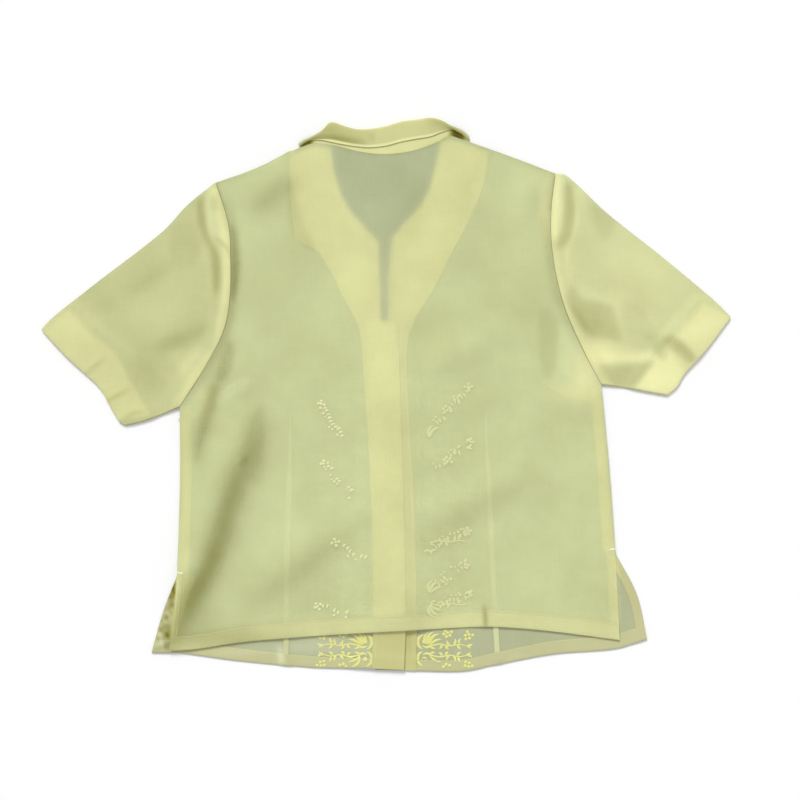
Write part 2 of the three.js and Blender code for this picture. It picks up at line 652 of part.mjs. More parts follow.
// ---- The blouse, with its origin under the middle of its box ---------------------------------------
const blouse = new THREE.Group();
blouse.add(
  mesh('back', wall(back), FINISHES.organza),
  mesh('front_left', wall(leftFront), FINISHES.organza),
  mesh('front_right', wall(rightFront), FINISHES.organza),
  mesh('facing_left', wall(facingOf(leftFront)), FINISHES.doubled),
  mesh('facing_right', wall(facingOf(rightFront)), FINISHES.doubled),
  mesh('sleeve_left', sleeve('left', -1), FINISHES.organza),
  mesh('sleeve_right', sleeve('right', 1), FINISHES.organza),
  mesh('collar', collar(), FINISHES.doubled),
);
buttonPlaces.forEach((place, k) => {
  const button = mesh(`button_${k + 1}`, buttonGeometry(), FINISHES.resin);
  button.position.set(place.x, place.y, 0);
  blouse.add(button);
});
const middle = new THREE.Box3().setFromObject(blouse).getCenter(new THREE.Vector3());
blouse.position.set(-middle.x, -middle.y, 0);

export default blouse;
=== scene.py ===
"""A sheer embroidered blouse of organza, laid flat with its back up.

Lengths are millimetres until a mesh is made. +Z is up, +Y runs towards the collar, and -X is the
wearer's left. Each layer of cloth rests on the layers below it, so the fronts, facings, hems and
embroidery lie under the sheer back and show through it.
"""
import math

import bpy
import numpy as np
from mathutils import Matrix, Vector


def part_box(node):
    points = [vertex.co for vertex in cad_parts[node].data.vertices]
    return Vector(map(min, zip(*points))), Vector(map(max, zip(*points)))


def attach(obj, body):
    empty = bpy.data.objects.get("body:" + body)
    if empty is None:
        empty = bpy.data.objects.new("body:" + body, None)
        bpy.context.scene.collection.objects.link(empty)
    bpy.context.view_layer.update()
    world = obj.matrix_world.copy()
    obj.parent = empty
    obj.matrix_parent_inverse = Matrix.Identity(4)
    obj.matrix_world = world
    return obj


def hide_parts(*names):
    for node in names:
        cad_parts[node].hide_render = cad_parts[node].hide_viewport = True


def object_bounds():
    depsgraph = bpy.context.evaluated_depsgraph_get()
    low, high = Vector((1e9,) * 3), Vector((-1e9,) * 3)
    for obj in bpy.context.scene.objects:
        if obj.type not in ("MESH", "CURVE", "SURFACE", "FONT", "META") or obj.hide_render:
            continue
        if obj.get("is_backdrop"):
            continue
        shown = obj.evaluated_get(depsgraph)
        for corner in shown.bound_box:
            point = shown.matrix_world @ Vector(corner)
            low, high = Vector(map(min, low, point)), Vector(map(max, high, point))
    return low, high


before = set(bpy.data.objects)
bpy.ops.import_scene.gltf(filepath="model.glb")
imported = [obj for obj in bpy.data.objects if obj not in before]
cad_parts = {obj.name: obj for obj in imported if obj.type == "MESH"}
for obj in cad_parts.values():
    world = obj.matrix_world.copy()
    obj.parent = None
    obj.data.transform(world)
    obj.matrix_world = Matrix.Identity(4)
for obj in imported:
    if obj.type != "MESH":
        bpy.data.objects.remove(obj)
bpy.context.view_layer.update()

MM = 0.001
CLOTH = 0.30          # one layer of organza
DOUBLED = 0.55        # two layers sewn as one, as in the collar
AIR = 0.22            # between two layers that lie on each other
LIFT_Y = 0.2          # the frame's origin is the middle of the whole box
SEAM_GAP = 0.5        # between the body's side and the sleeve
HEM_SHARE = 0.031     # how much of the back's height its turned hem takes
FRONT_HEM_SHARE = 0.85 * HEM_SHARE

# ---- Cut edges, as in the part: (share of the way along, x, y) and "corner" where the run breaks ----
ROWS = 24
SIDE_LEFT = [
    (4 / ROWS, -250, -216, "corner"), (8 / ROWS, -247, -110), (12 / ROWS, -247, -15, "corner"),
    (14 / ROWS, -217, 32), (16 / ROWS, -195, 75), (18 / ROWS, -187, 115), (20 / ROWS, -186, 163),
    (22 / ROWS, -189, 206), (1, -204, 254),
]
SIDE_RIGHT = [
    (4 / ROWS, 275, -190, "corner"), (8 / ROWS, 267, -80), (12 / ROWS, 258, 12, "corner"),
    (14 / ROWS, 238, 50), (16 / ROWS, 216, 99), (18 / ROWS, 204, 142), (20 / ROWS, 198, 184),
    (22 / ROWS, 198, 224), (1, 203, 265),
]
BACK_VENT_LEFT = [(0, -259, -307), (2 / ROWS, -254, -262)]
BACK_VENT_RIGHT = [(0, 280, -294), (2 / ROWS, 278, -242)]
FRONT_VENT_LEFT = [(0, -281, -309), (2 / ROWS, -267, -260)]
FRONT_VENT_RIGHT = [(0, 313, -293), (2 / ROWS, 301, -240)]
BACK_HEM = [
    (0, -259, -307), (0.06, -226, -304.5), (0.16, -172, -296.5), (0.38, -54, -287), (0.62, 73, -280),
    (0.72, 125, -278), (0.84, 189, -282.5), (1, 280, -294),
]
BACK_TOP = [
    (0, -204, 254), (3 / 24, -156, 271), (6 / 24, -103, 296, "corner"), (7 / 24, -86, 301),
    (8 / 24, -65, 299), (10 / 24, -32, 291.5), (12 / 24, -2, 288.5), (14 / 24, 30, 292),
    (16 / 24, 58, 301), (17 / 24, 76, 311, "corner"), (18 / 24, 99, 303, "corner"), (21 / 24, 150, 285),
    (1, 203, 265),
]
LEFT_HEM = [(0, -17, -328), (0.26, -86, -327), (0.6, -172, -319.5), (0.86, -245, -310), (1, -281, -309)]
LEFT_SHOULDER = [(0, -115, 292), (0.5, -157, 270.5), (1, -204, 254)]
LEFT_OPENING = [
    (0, 22, -330), (3 / ROWS, 24, -269), (9 / ROWS, 21, -118), (16 / ROWS, 14.5, 87, "corner"),
    (16.25 / ROWS, -5, 90, "corner"), (18 / ROWS, -6, 135), (20 / ROWS, -7, 183, "corner"),
    (21 / ROWS, -29, 207), (22 / ROWS, -47, 231), (23 / ROWS, -59, 262), (1, -65, 295),
]
LEFT_FACING_EDGE = [
    (0, -17, -328), (3 / ROWS, -15.5, -269), (9 / ROWS, -18, -118), (14 / ROWS, -28, 40),
    (16 / ROWS, -34, 84), (17 / ROWS, -50, 114), (18.2 / ROWS, -66, 147), (19 / ROWS, -82, 172, "corner"),
    (20 / ROWS, -109, 185, "corner"), (22 / ROWS, -115, 242), (1, -115, 292),
]
RIGHT_HEM = [
    (0, 36, -331), (0.2, 91, -331.5), (0.34, 130, -324), (0.6, 201, -311), (0.86, 275, -304.5),
    (1, 313, -293),
]
RIGHT_SHOULDER = [(0, 124, 293.5), (0.5, 164, 280), (1, 203, 265)]
RIGHT_OPENING = [
    (0, -13, -330), (3 / ROWS, -12, -269), (9 / ROWS, -14, -118), (16 / ROWS, -23, 85, "corner"),
    (16.25 / ROWS, 0.5, 90, "corner"), (18 / ROWS, 1.5, 140), (20 / ROWS, 5, 188, "corner"),
    (21 / ROWS, 24, 211), (22 / ROWS, 43, 232), (23 / ROWS, 56, 266), (1, 63, 301),
]
RIGHT_FACING_EDGE = [
    (0, 36, -331), (3 / ROWS, 37, -269), (9 / ROWS, 33, -118), (14 / ROWS, 25, 45), (16 / ROWS, 33, 86),
    (17 / ROWS, 47, 110), (18 / ROWS, 63, 137), (19 / ROWS, 77, 166), (20 / ROWS, 92, 194),
    (22 / ROWS, 115, 245), (1, 124, 293.5),
]
SLEEVE_EDGES = {
    "left": {
        "fold": [(0, -204.5, 254), (0.16, -238, 227), (0.32, -268, 195), (0.7, -348, 133),
                 (0.92, -399, 92.5), (1, -413, 78)],
        "underarm": [(0, -247.5, -15), (0.5, -281, -29), (0.9, -312, -37), (1, -319, -33)],
        "cuff": [(0, -413, 78), (0.3, -382, 45), (0.58, -344, 9), (0.82, -329, -17), (1, -319, -33)],
        "turn_up": [(0, -381, 107), (0.18, -360, 80), (0.46, -325, 50), (0.7, -307, 17), (1, -280, -27)],
    },
    "right": {
        "fold": [(0, 203.5, 265), (0.08, 218, 261), (0.28, 263, 219), (0.62, 332, 164), (0.9, 394, 112),
                 (1, 413, 93)],
        "underarm": [(0, 258.5, 12), (0.35, 286, 8), (0.8, 318, 2), (1, 336, -1)],
        "cuff": [(0, 413, 93), (0.3, 387, 58), (0.66, 358, 25), (0.88, 348, 9), (1, 336, -1)],
        "turn_up": [(0, 381, 112), (0.26, 362, 89), (0.52, 341, 64), (0.78, 315, 34), (1, 298, 7)],
    },
}
# Collar sections from the left neck point round the back: sewn edge, rolled fold, free edge.
COLLAR_SECTIONS = [
    ((-101, 298.5), (-105, 300), (-103, 298)), ((-95, 301), (-98, 305), (-97, 302)),
    ((-87, 303.5), (-90, 308.5), (-90, 305)), ((-77, 302.5), (-77, 316), (-77, 305)),
    ((-64, 300), (-66, 326), (-64, 302.5)), ((-48, 296.5), (-49.5, 321.5), (-48, 299.5)),
    ((-34, 293), (-36, 318), (-34, 297.5)), ((-19, 290.5), (-20, 318), (-19, 296.5)),
    ((0, 289.5), (0, 321.5), (0, 298.5)), ((19, 291.5), (19, 327), (19, 303.5)),
    ((37, 295), (38, 329.5), (38, 307)), ((50, 299.5), (53, 331.5), (53, 309.5)),
    ((65, 307.5), (66, 328.5), (65, 314)), ((77, 314), (77, 322.5), (78, 318)),
    ((88, 310.5), (87, 318.5), (86, 315)), ((95, 307.5), (94, 314.5), (92, 311.5)),
    ((99, 304.5), (100, 308.5), (98, 306)),
]

# ---- Folds and shades ----
# Creases: points along the foot, with the shaded side on the right of the way they run, then the width of
# the crest on the lit side, its width on the shaded side, its rise and its shade.
BODY_CREASES = [
    # The long trough from under the left arm down to the vent.
    ([(-252, -286), (-236, -248), (-219, -222), (-208, -199), (-197, -162), (-186, -126), (-172, -92),
      (-157, -56), (-147, -14)], 24, 11, 3.2, 0.88),
    ([(-272, -346), (-248, -278), (-230, -238), (-212, -202), (-202, -168)], 24, 9, 0.8, 0.62),
    ([(-228, -84), (-220, -50), (-208, 4), (-196, 44), (-186, 78)], 11, 8, 1.8, 0.30),
    ([(-177, -86), (-163, -72)], 2.5, 2, 0.3, 0.22),
    # Drag lines across the hips.
    ([(-176, -268), (-104, -212), (-52, -172), (-14, -140)], 24, 11, 2.2, 0.34),
    ([(30, -184), (113, -135), (192, -90)], 22, 11, 1.5, 0.24),
    ([(36, 12), (84, 34), (150, 70)], 16, 10, 0.9, 0.12),
    ([(-169, 213), (-140, 236), (-102, 262)], 16, 11, 1.4, 0.38),
    # Painted shade, with no rise, where the body falls away from the raised armhole seams.
    ([(-243, -14), (-210, 40), (-190, 80), (-183, 120), (-182, 165), (-185, 208), (-198, 250)],
     5, 4.5, 0.0, 0.50),
    ([(196, 250), (192, 205), (196, 165), (204, 122), (222, 76), (244, 28)], 4, 4, 0.0, 0.30),
    # A pinch in the back hem where it was stitched over the dart.
    ([(120, -284), (119, -268), (117, -250)], 2, 2, 0.7, 0.95),
]
# A painted shadow line with no rise, beside the left front's opening edge, on the right front.
PLACKET_SHADOW = ([(27.5, -326), (28.5, -262), (26, -118), (21.5, -10), (19, 70)], 3, 3.2, 0.0, 0.50)
SLEEVE_CREASES = {
    "left": [
        ([(-216, 96), (-205, 130), (-200, 166), (-215, 200), (-223, 236)], 8, 4.5, -1.0, 0.20),
        ([(-208, 190), (-199, 184), (-191, 176), (-187, 165)], 2, 1.6, 0.5, 0.55),
        ([(-282, 50), (-250, 66), (-208, 86)], 22, 8, 1.8, 0.20),
        ([(-312, 116), (-284, 140), (-250, 160)], 16, 6, 0.9, 0.14),
        ([(-352, 112), (-318, 104)], 10, 6, 0.6, 0.06),
        ([(-364, 20), (-350, 33), (-334, 46)], 2.5, 1.8, 0.6, 0.34),
        ([(-340, -12), (-326, -3), (-304, 8)], 2.5, 1.8, 0.6, 0.34),
        ([(-322, -34), (-302, -22), (-286, -20)], 2.5, 1.8, 0.5, 0.28),
    ],
    "right": [
        ([(224, 252), (226, 214), (214, 176)], 12, 8, 1.8, 0.0),
        ([(216, 142), (218, 172), (229, 208), (224, 252)], 3, 1.8, 0.6, -0.28),
        ([(283, 64), (246, 84), (218, 122)], 20, 10, 0.6, 0.12),
        ([(222, 110), (236, 84), (250, 66)], 3, 4.5, 0.5, 0.30),
        ([(250, 150), (300, 116), (352, 74)], 26, 12, 2.4, 0.15),
        ([(262, 50), (300, 54), (334, 66)], 16, 8, 1.4, 0.0),
        ([(256, 22), (284, 28), (312, 32)], 10, 6, 0.6, 0.05),
        ([(338, 70), (356, 56), (370, 40)], 8, 4.0, 1.4, 0.20),
        ([(300, 80), (322, 66), (340, 46)], 10, 5, 1.0, 0.08),
    ],
}
# Painted shade on the collar: these creases have no rise.
COLLAR_CREASES = [
    ([(-92, 305), (-72, 307), (-56, 306), (-38, 303), (-20, 302)], 6, 3.5, 0, 0.85),
    ([(-16, 300), (-17, 316)], 5, 3, 0, 0.25),
    ([(-90, 310), (-70, 320), (-50, 316)], 6, 5, 0, 0.30),
    ([(46, 329), (66, 326), (86, 317)], 5, 4, 0, 0.55),
]
# Painted light: where more layers lie close under a piece, it is painted lighter and yellower, as
# light through them makes it look: x, y, half sizes, amount.
PAINTED_GLOWS = {
    "body": [
        (240, 26, 16, 34, 0.42), (222, 2, 26, 12, 0.30), (-218, -6, 12, 18, 0.30),
        (-205, -30, 18, 10, 0.12), (191, 214, 6, 36, 0.45), (-10, 130, 20, 60, 0.08),
        (150, 180, 30, 60, 0.06), (60, 60, 26, 18, 0.10),
    ],
    "left": [
        (-238, 30, 18, 24, 0.10), (-214, 190, 8, 30, 0.12), (-370, 80, 20, 20, 0.10),
    ],
    "right": [
        (256, 50, 24, 22, 0.34), (296, 46, 34, 7, 0.26), (215, 190, 7, 50, 0.16), (382, 86, 20, 20, 0.16),
        (322, 18, 16, 14, 0.16), (300, 120, 60, 40, 0.08),
    ],
}
# Soft patches of shade: x, y, half sizes, amount. It is above 0 (darker) where layers part, and below 0
# (lighter) where they lie close on more cloth. "front" is for what shows of the fronts below the back.
PATCHES = {
    "body": [
        (-176, -60, 48, 62, 0.18), (-120, 160, 34, 44, 0.10), (-105, 60, 36, 30, 0.10),
        (64, 92, 40, 22, 0.14), (186, 110, 20, 50, 0.16), (120, 150, 40, 60, 0.06),
        (-60, -30, 36, 42, 0.08), (90, -50, 50, 40, 0.05), (-224, -262, 22, 30, 0.30),
        (180, -160, 60, 70, -0.06), (-186, -120, 22, 60, 0.05), (232, 50, 24, 26, -0.22),
        (232, 8, 34, 18, -0.18), (-76, -256, 40, 30, 0.14), (74, -240, 44, 34, 0.12),
        (-60, 190, 36, 40, -0.03), (-140, -150, 40, 50, -0.05), (-190, -292, 80, 15, 0.55),
        (0, 53, 26, 42, -0.16), (30, 240, 24, 34, 0.20), (178, 232, 8, 22, 0.15),
    ],
    "front": [
        (-110, -298, 60, 16, -0.14), (-254, -240, 7, 26, 1.1), (-262, -292, 7, 14, 0.35),
    ],
    "left": [
        (-288, 26, 22, 26, 0.30), (-300, 96, 50, 24, -0.04), (-330, 130, 70, 18, 0.06),
        (-212, 150, 5, 60, -0.10),
    ],
    "right": [
        (306, 130, 56, 40, -0.02), (283, 114, 20, 16, -0.22), (262, 84, 26, 20, 0.10),
        (300, 44, 46, 12, -0.16), (232, 180, 22, 40, 0.06), (378, 84, 26, 22, -0.12),
        (208, 215, 6, 44, -0.16),
    ],
    "collar": [
        (-58, 314, 34, 14, 0.42), (-95, 304, 12, 8, 0.2), (20, 316, 40, 12, -0.06), (72, 320, 26, 8, 0.18),
    ],
}


# ---- Facets: painted shade, darker or lighter, on crisp-edged cloth between creases, as (amount, outline) ----
PIXEL = 1.2                     # millimetres a pixel of the camera's picture
ORIGIN_PIXEL = (386, 394.5)     # where the frame's origin lies in that picture


def placed(outline):
    """An outline in pixels of the camera's picture as places in millimetres."""
    return [((x - ORIGIN_PIXEL[0]) * PIXEL, (ORIGIN_PIXEL[1] - y) * PIXEL) for x, y in outline]


PIXEL_FACETS = {
    "body": [
        (0.5, [(230, 222), (235, 230), (239, 248), (240.5, 266), (238, 285), (232.5, 302), (229.5, 290),
            (230, 255)]),
        (0.42, [(228, 340), (234, 344), (233, 362), (227, 378), (218, 382), (220, 362)]),
        (0.34, [(212, 384), (220, 384), (217, 402), (209, 426), (203, 446), (197, 464), (195, 450),
            (199, 425), (206, 402)]),
        (-0.22, [(214, 404), (222, 393), (235, 381), (251, 377), (245, 389), (232, 397), (221, 404)]),
        (-0.1, [(222, 402), (238, 398), (246, 410), (236, 445), (222, 470), (206, 480), (208, 450)]),
        (0.16, [(254, 408), (263, 402), (265, 440), (264, 470), (256, 488), (246, 474), (239, 464),
            (246, 438)]),
        (0.2, [(539, 310), (552, 308), (558, 330), (556, 368), (546, 380), (539, 350)]),
        (-0.12, [(560, 325), (572, 326), (586, 350), (600, 378), (584, 384), (566, 376), (556, 360)]),
        (0.22, [(289, 176), (293, 190), (300, 210), (306, 230), (316, 250), (300, 244), (291, 226),
            (288, 200)]),
    ],
    "left": [
        (-0.42, [(213, 186), (219, 190), (220, 203), (223, 216), (228, 232), (230, 250), (230.5, 275),
            (229, 292), (225, 310), (218, 335), (213, 346), (216, 322), (220, 300), (220.5, 280),
            (220, 262), (215, 246), (208, 232), (205, 206), (208, 190)]),
        (0.45, [(212, 197), (216, 193), (218, 204), (216, 212), (212, 208)]),
        (0.42, [(197, 202), (203, 196), (206, 222), (211, 241), (219.5, 257), (220, 285), (216, 295),
            (212, 276), (209, 252), (202, 236), (197, 218)]),
        (0.10, [(150, 346), (164, 337), (200, 327), (209, 325), (201, 336), (182, 343), (160, 351)]),
        (-0.16, [(165, 353), (198, 348), (212, 352), (202, 368), (190, 385), (178, 402), (171, 399),
            (184, 376), (178, 366), (170, 360)]),
        (0.14, [(172, 225), (190, 222), (200, 245), (196, 262), (180, 268), (170, 250)]),
    ],
    "right": [
        (0.55, [(565, 182), (572, 186), (575, 200), (574, 218), (571, 236), (564, 246), (557, 250),
            (556, 243), (562, 228), (564, 205)]),
        (-0.26, [(555, 175), (563, 177), (562, 192), (563, 208), (560, 222), (556, 238), (551, 238),
            (551, 205)]),
        (-0.1, [(574, 186), (582, 190), (588, 215), (592, 240), (580, 262), (568, 280), (563, 276),
            (568, 252), (575, 230), (578, 208)]),
        (0.34, [(566, 296), (572, 286), (582, 300), (598, 301), (612, 306), (617, 324), (622, 340),
            (606, 338), (588, 335), (577, 319), (568, 306)]),
        (-0.12, [(577, 283), (590, 287), (604, 299), (612, 306), (597, 301), (583, 295)]),
        (0.14, [(622, 300), (640, 307), (651, 322), (667, 338), (652, 342), (636, 338), (624, 332),
            (621, 316)]),
        (0.2, [(592, 203), (606, 211), (615, 222), (609, 236), (604, 240), (596, 226)]),
        (-0.05, [(616, 222), (628, 232), (652, 262), (690, 290), (700, 300), (669, 336), (655, 330),
            (641, 306), (622, 298), (612, 270), (610, 250)]),
        (0.36, [(598, 364), (625, 364), (653, 362), (642, 377), (633, 386), (612, 384), (600, 374)]),
        (-0.16, [(588, 345), (602, 342), (625, 345), (650, 352), (661, 360), (652, 362), (625, 363),
            (600, 363), (592, 358)]),
        (-0.22, [(654, 364), (668, 358), (683, 372), (673, 388), (660, 394), (640, 391), (633, 387),
            (643, 377)]),
        (0.5, [(661, 338), (671, 335), (684, 344), (695, 357), (690, 363), (680, 357), (667, 347)]),
        (-0.2, [(661, 350), (668, 345), (675, 354), (671, 361)]),
        (0.25, [(650, 344), (662, 342), (668, 350), (664, 362), (654, 352)]),
    ],
    "front": [
        # Painted light and shade of a pinch in the left front's hem, with no rise.
        (-1.1, [(278, 646), (282, 648), (284, 662), (281, 664)]),
        (0.35, [(283, 646), (287, 648), (285, 662), (283, 660)]),
        # The hem that shows below the back, painted lighter.
        (-0.22, [(205, 650), (270, 646), (300, 642), (372, 640), (372, 652), (300, 652), (230, 655)]),
    ],
}
FACETS = {key: [(amount, placed(outline)) for amount, outline in rows] for key, rows in PIXEL_FACETS.items()}
# Painted shade on the triangle of the left front that shows at its vent, and on its crumples, which have no
# rise.
VENT_TRIANGLE = (0.42, placed([
    (176, 575), (181, 577), (176, 600), (168, 630), (167, 650), (155, 650), (162, 620), (170, 592),
]))
VENT_CRUMPLE_SHADES = [
    (1.3, [(-257, -273), (-259.5, -278), (-264.4, -284), (-264.9, -291), (-261, -294), (-258.5, -288)]),
    (0.8, [(-260.5, -295.3), (-265.4, -303.8), (-259.5, -306.2), (-258.7, -297.8)]),
    (-0.7, [(-271.4, -286), (-273.9, -303.8), (-268.4, -305.7), (-265.4, -297.8), (-266.4, -288)]),
    (1.2, [(-252, -221), (-256, -233), (-255, -242), (-253, -231)]),
    (0.6, [(-262.5, -264.1), (-267.4, -270), (-265.4, -271), (-261, -266)]),
    (0.5, [(-270.4, -276), (-266.4, -277), (-268.4, -283.9), (-272.4, -282.9)]),
    (-0.5, [(-255.5, -252.2), (-253.5, -254.2), (-257.5, -266.1), (-260.5, -270), (-261.5, -268)]),
]
FACETS["front"] += [VENT_TRIANGLE, *VENT_CRUMPLE_SHADES]

# ---- Whole sleeves ----
SLEEVE_DEPTH = {"left": 0.12, "right": -0.12}     # shade over the whole of a sleeve
# How deep each armhole's allowance reaches, from the shoulder to the underarm, as a share of the sleeve.
ALLOWANCE_DEPTH = {
    "left": ([0, 0.1, 0.5, 0.72, 0.82, 1], [0.03, 0.045, 0.055, 0.05, 0.17, 0.24]),
    "right": ([0, 0.1, 0.35, 0.6, 0.8, 1], [0.035, 0.04, 0.05, 0.03, 0.06, 0.20]),
}


# ---- Curves and grids ----
def edge(rows):
    """A smooth run through the rows of a cut edge, broken at its corners."""
    at = np.array([row[0] for row in rows], float)
    points = np.array([row[1:3] for row in rows], float) + (0, LIFT_Y)
    slope = (points[1:] - points[:-1]) / (at[1:] - at[:-1])[:, None]
    leave = np.vstack([slope, slope[-1:]])
    arrive = np.vstack([slope[:1], slope])
    for i in range(1, len(rows) - 1):
        if len(rows[i]) < 4:
            leave[i] = arrive[i] = (points[i + 1] - points[i - 1]) / (at[i + 1] - at[i - 1])

    def run(t):
        t = np.atleast_1d(np.asarray(t, float))
        i = np.clip(np.searchsorted(at, t, side="right") - 1, 0, len(at) - 2)
        span = (at[i + 1] - at[i])[:, None]
        s = np.clip((t - at[i])[:, None] / span, 0, 1)
        rise = points[i + 1] - points[i]
        first = leave[i] * span
        last = arrive[i + 1] * span
        return points[i] + first * s + (3 * rise - 2 * first - last) * s**2 + (first + last - 2 * rise) * s**3

    return run


def smooth_line(points, count):
    """A smooth open line through given points."""
    points = np.asarray(points, float)
    steps = np.hypot(*(points[1:] - points[:-1]).T)
    at = np.concatenate([[0], np.cumsum(steps) / steps.sum()])
    return edge([(t, *p) for t, p in zip(at, points)])(np.linspace(0, 1, count)) - (0, LIFT_Y)


def patch(start, end, low, high):
    """A surface stretched between four edges, as a function of u and v arrays."""
    def run(u, v):
        across, along = u[None, :, None], v[:, None, None]
        sides = start(v)[:, None] * (1 - across) + end(v)[:, None] * across
        ends = low(u)[None] * (1 - along) + high(u)[None] * along
        bottom = start(0)[None] * (1 - across) + end(0)[None] * across
        top = start(1)[None] * (1 - across) + end(1)[None] * across
        return sides + ends - bottom * (1 - along) - top * along

    return run


def between(one, other):
    """A straight-ruled surface from one edge to another."""
    def run(u, v):
        across = u[None, :, None]
        return one(v)[:, None] * (1 - across) + other(v)[:, None] * across

    return run


def outline_of(grid):
    """The closed outline of a grid of points."""
    return np.vstack([grid[0], grid[1:, -1], grid[-1, -2::-1], grid[-2:0:-1, 0]])


def strip(line, half_width):
    """A band of cloth along a line, as a grid of points. The half width may change along it."""
    way = np.gradient(line, axis=0)
    way /= np.linalg.norm(way, axis=1)[:, None]
    across = np.stack([way[:, 1], -way[:, 0]], axis=1)
    half = np.broadcast_to(half_width, len(line))[:, None]
    return np.stack([line + across * half * side for side in np.linspace(-1, 1, 5)], axis=1)


# ---- Heights: a field of 2 mm cells holds the top of all that lies below ----
CELL = 2.0
FIELD_X = np.arange(-438, 439, CELL)
FIELD_Y = np.arange(-354, 355, CELL)
GRID_X, GRID_Y = np.meshgrid(FIELD_X, FIELD_Y)


def region(outline):
    """The cells inside a closed outline."""
    hit = np.zeros(GRID_X.shape, bool)
    for (x0, y0), (x1, y1) in zip(outline, np.roll(outline, -1, axis=0)):
        rows = (FIELD_Y >= min(y0, y1)) & (FIELD_Y < max(y0, y1))
        if rows.any():
            cross = x0 + (FIELD_Y[rows] - y0) / (y1 - y0) * (x1 - x0)
            hit[rows] ^= FIELD_X[None, :] < cross[:, None]
    return hit


def cells_of(grid):
    """The cells inside a grid's outline."""
    return region(outline_of(grid))


def shifted(field, step, axis):
    """The field moved by whole cells, its border repeated."""
    index = np.clip(np.arange(field.shape[axis]) - step, 0, field.shape[axis] - 1)
    return np.take(field, index, axis=axis)


def widened(field, reach):
    """The highest value within reach."""
    for axis in (0, 1):
        field = np.max([shifted(field, k, axis) for k in range(-reach, reach + 1)], axis=0)
    return field


def softened(field, reach):
    """The mean within reach, taken twice."""
    for axis in (0, 1, 0, 1):
        field = np.mean([shifted(field, k, axis) for k in range(-reach, reach + 1)], axis=0)
    return field


def sample(field, points):
    """The field's value at each point, between its cells."""
    x = np.clip((points[..., 0] - FIELD_X[0]) / CELL, 0, len(FIELD_X) - 1.001)
    y = np.clip((points[..., 1] - FIELD_Y[0]) / CELL, 0, len(FIELD_Y) - 1.001)
    i, j = x.astype(int), y.astype(int)
    fx, fy = x - i, y - j
    low = field[j, i] * (1 - fx) + field[j, i + 1] * fx
    high = field[j + 1, i] * (1 - fx) + field[j + 1, i + 1] * fx
    return low * (1 - fy) + high * fy


def crease_fields(creases):
    """The rise and the shade of a table of creases. The crest lies on the lit side of each line."""
    rise, shade = np.zeros(GRID_X.shape), np.zeros(GRID_X.shape)
    for points, lit, shaded, height, darkness in creases:
        line = smooth_line(points, 24)
        lengths = np.hypot(*(line[1:] - line[:-1]).T)
        away = np.full(GRID_X.shape, 1e9)
        side = np.zeros(GRID_X.shape)
        share = np.zeros(GRID_X.shape)
        before = 0.0
        for (x0, y0), (x1, y1), length in zip(line[:-1], line[1:], lengths):
            dx, dy = (x1 - x0) / length, (y1 - y0) / length
            along = np.clip((GRID_X - x0) * dx + (GRID_Y - y0) * dy, 0, length)
            reach = np.hypot(GRID_X - x0 - along * dx, GRID_Y - y0 - along * dy)
            near = reach < away
            away = np.where(near, reach, away)
            side = np.where(near, np.sign((GRID_X - x0) * dy - (GRID_Y - y0) * dx), side)
            share = np.where(near, (before + along) / lengths.sum(), share)
            before += length
        taper = np.maximum(np.sin(np.pi * share), 0) ** 0.8
        crest = side * away + shaded
        width = np.where(crest > 0, shaded, lit)
        # A wide crease is softened most, which also hides where its nearest point jumps inside a bend.
        spread = max(1, round(lit / 7))
        rise += softened(height * taper * np.exp(-0.5 * (crest / width) ** 2), spread)
        shade += softened(darkness * taper * np.exp(-0.5 * (away / shaded) ** 2), max(0, spread - 1))
    return rise, shade


def patch_field(patches):
    """Soft lighter and darker patches of shade."""
    shade = np.zeros(GRID_X.shape)
    for x, y, half_x, half_y, amount in patches:
        shade += amount * np.exp(-((GRID_X - x) / half_x) ** 2 - ((GRID_Y - y) / half_y) ** 2)
    return shade


def facet_field(facets):
    """Painted shade of facets of cloth between creases, a little softened at their edges."""
    shade = np.zeros(GRID_X.shape)
    for amount, outline in facets:
        line = smooth_line([*outline, outline[0]], 8 * len(outline))
        share = np.mean([region(line + (x, y)) for x in (-0.7, 0, 0.7) for y in (-0.7, 0, 0.7)], axis=0)
        shade += amount * softened(share, 1)
    return shade


def drift(scale, seed):
    """Slow unevenness of cloth that lies loose: a sum of long waves, from -1 to 1."""
    turn = np.random.default_rng(seed)
    field = np.zeros(GRID_X.shape)
    for _ in range(7):
        heading = turn.uniform(0, math.tau)
        wave = math.tau / (scale * turn.uniform(0.7, 1.5))
        phase = turn.uniform(0, math.tau)
        field += np.sin((GRID_X * math.cos(heading) + GRID_Y * math.sin(heading)) * wave + phase)
    return field / 7


class Heap:
    """The layers laid so far. "top" is the height of what lies highest in each cell."""

    def __init__(self):
        self.top = np.zeros(GRID_X.shape)

    def rest(self, reach):
        """The underside of a layer that bridges steps below it within reach."""
        return softened(widened(self.top, 2 * reach), reach) + AIR

    def add(self, cells, under, thick=CLOTH):
        """Raises the heap over these cells."""
        self.top = np.where(cells, np.maximum(self.top, under + thick), self.top)

    def lay(self, cells, reach, thick=CLOTH, folds=0.0):
        """Rests a layer on the heap and returns the height of its middle."""
        under = self.rest(reach) + folds
        self.add(cells, under, thick)
        return under + thick / 2


# ---- Meshes ----
pieces = {}


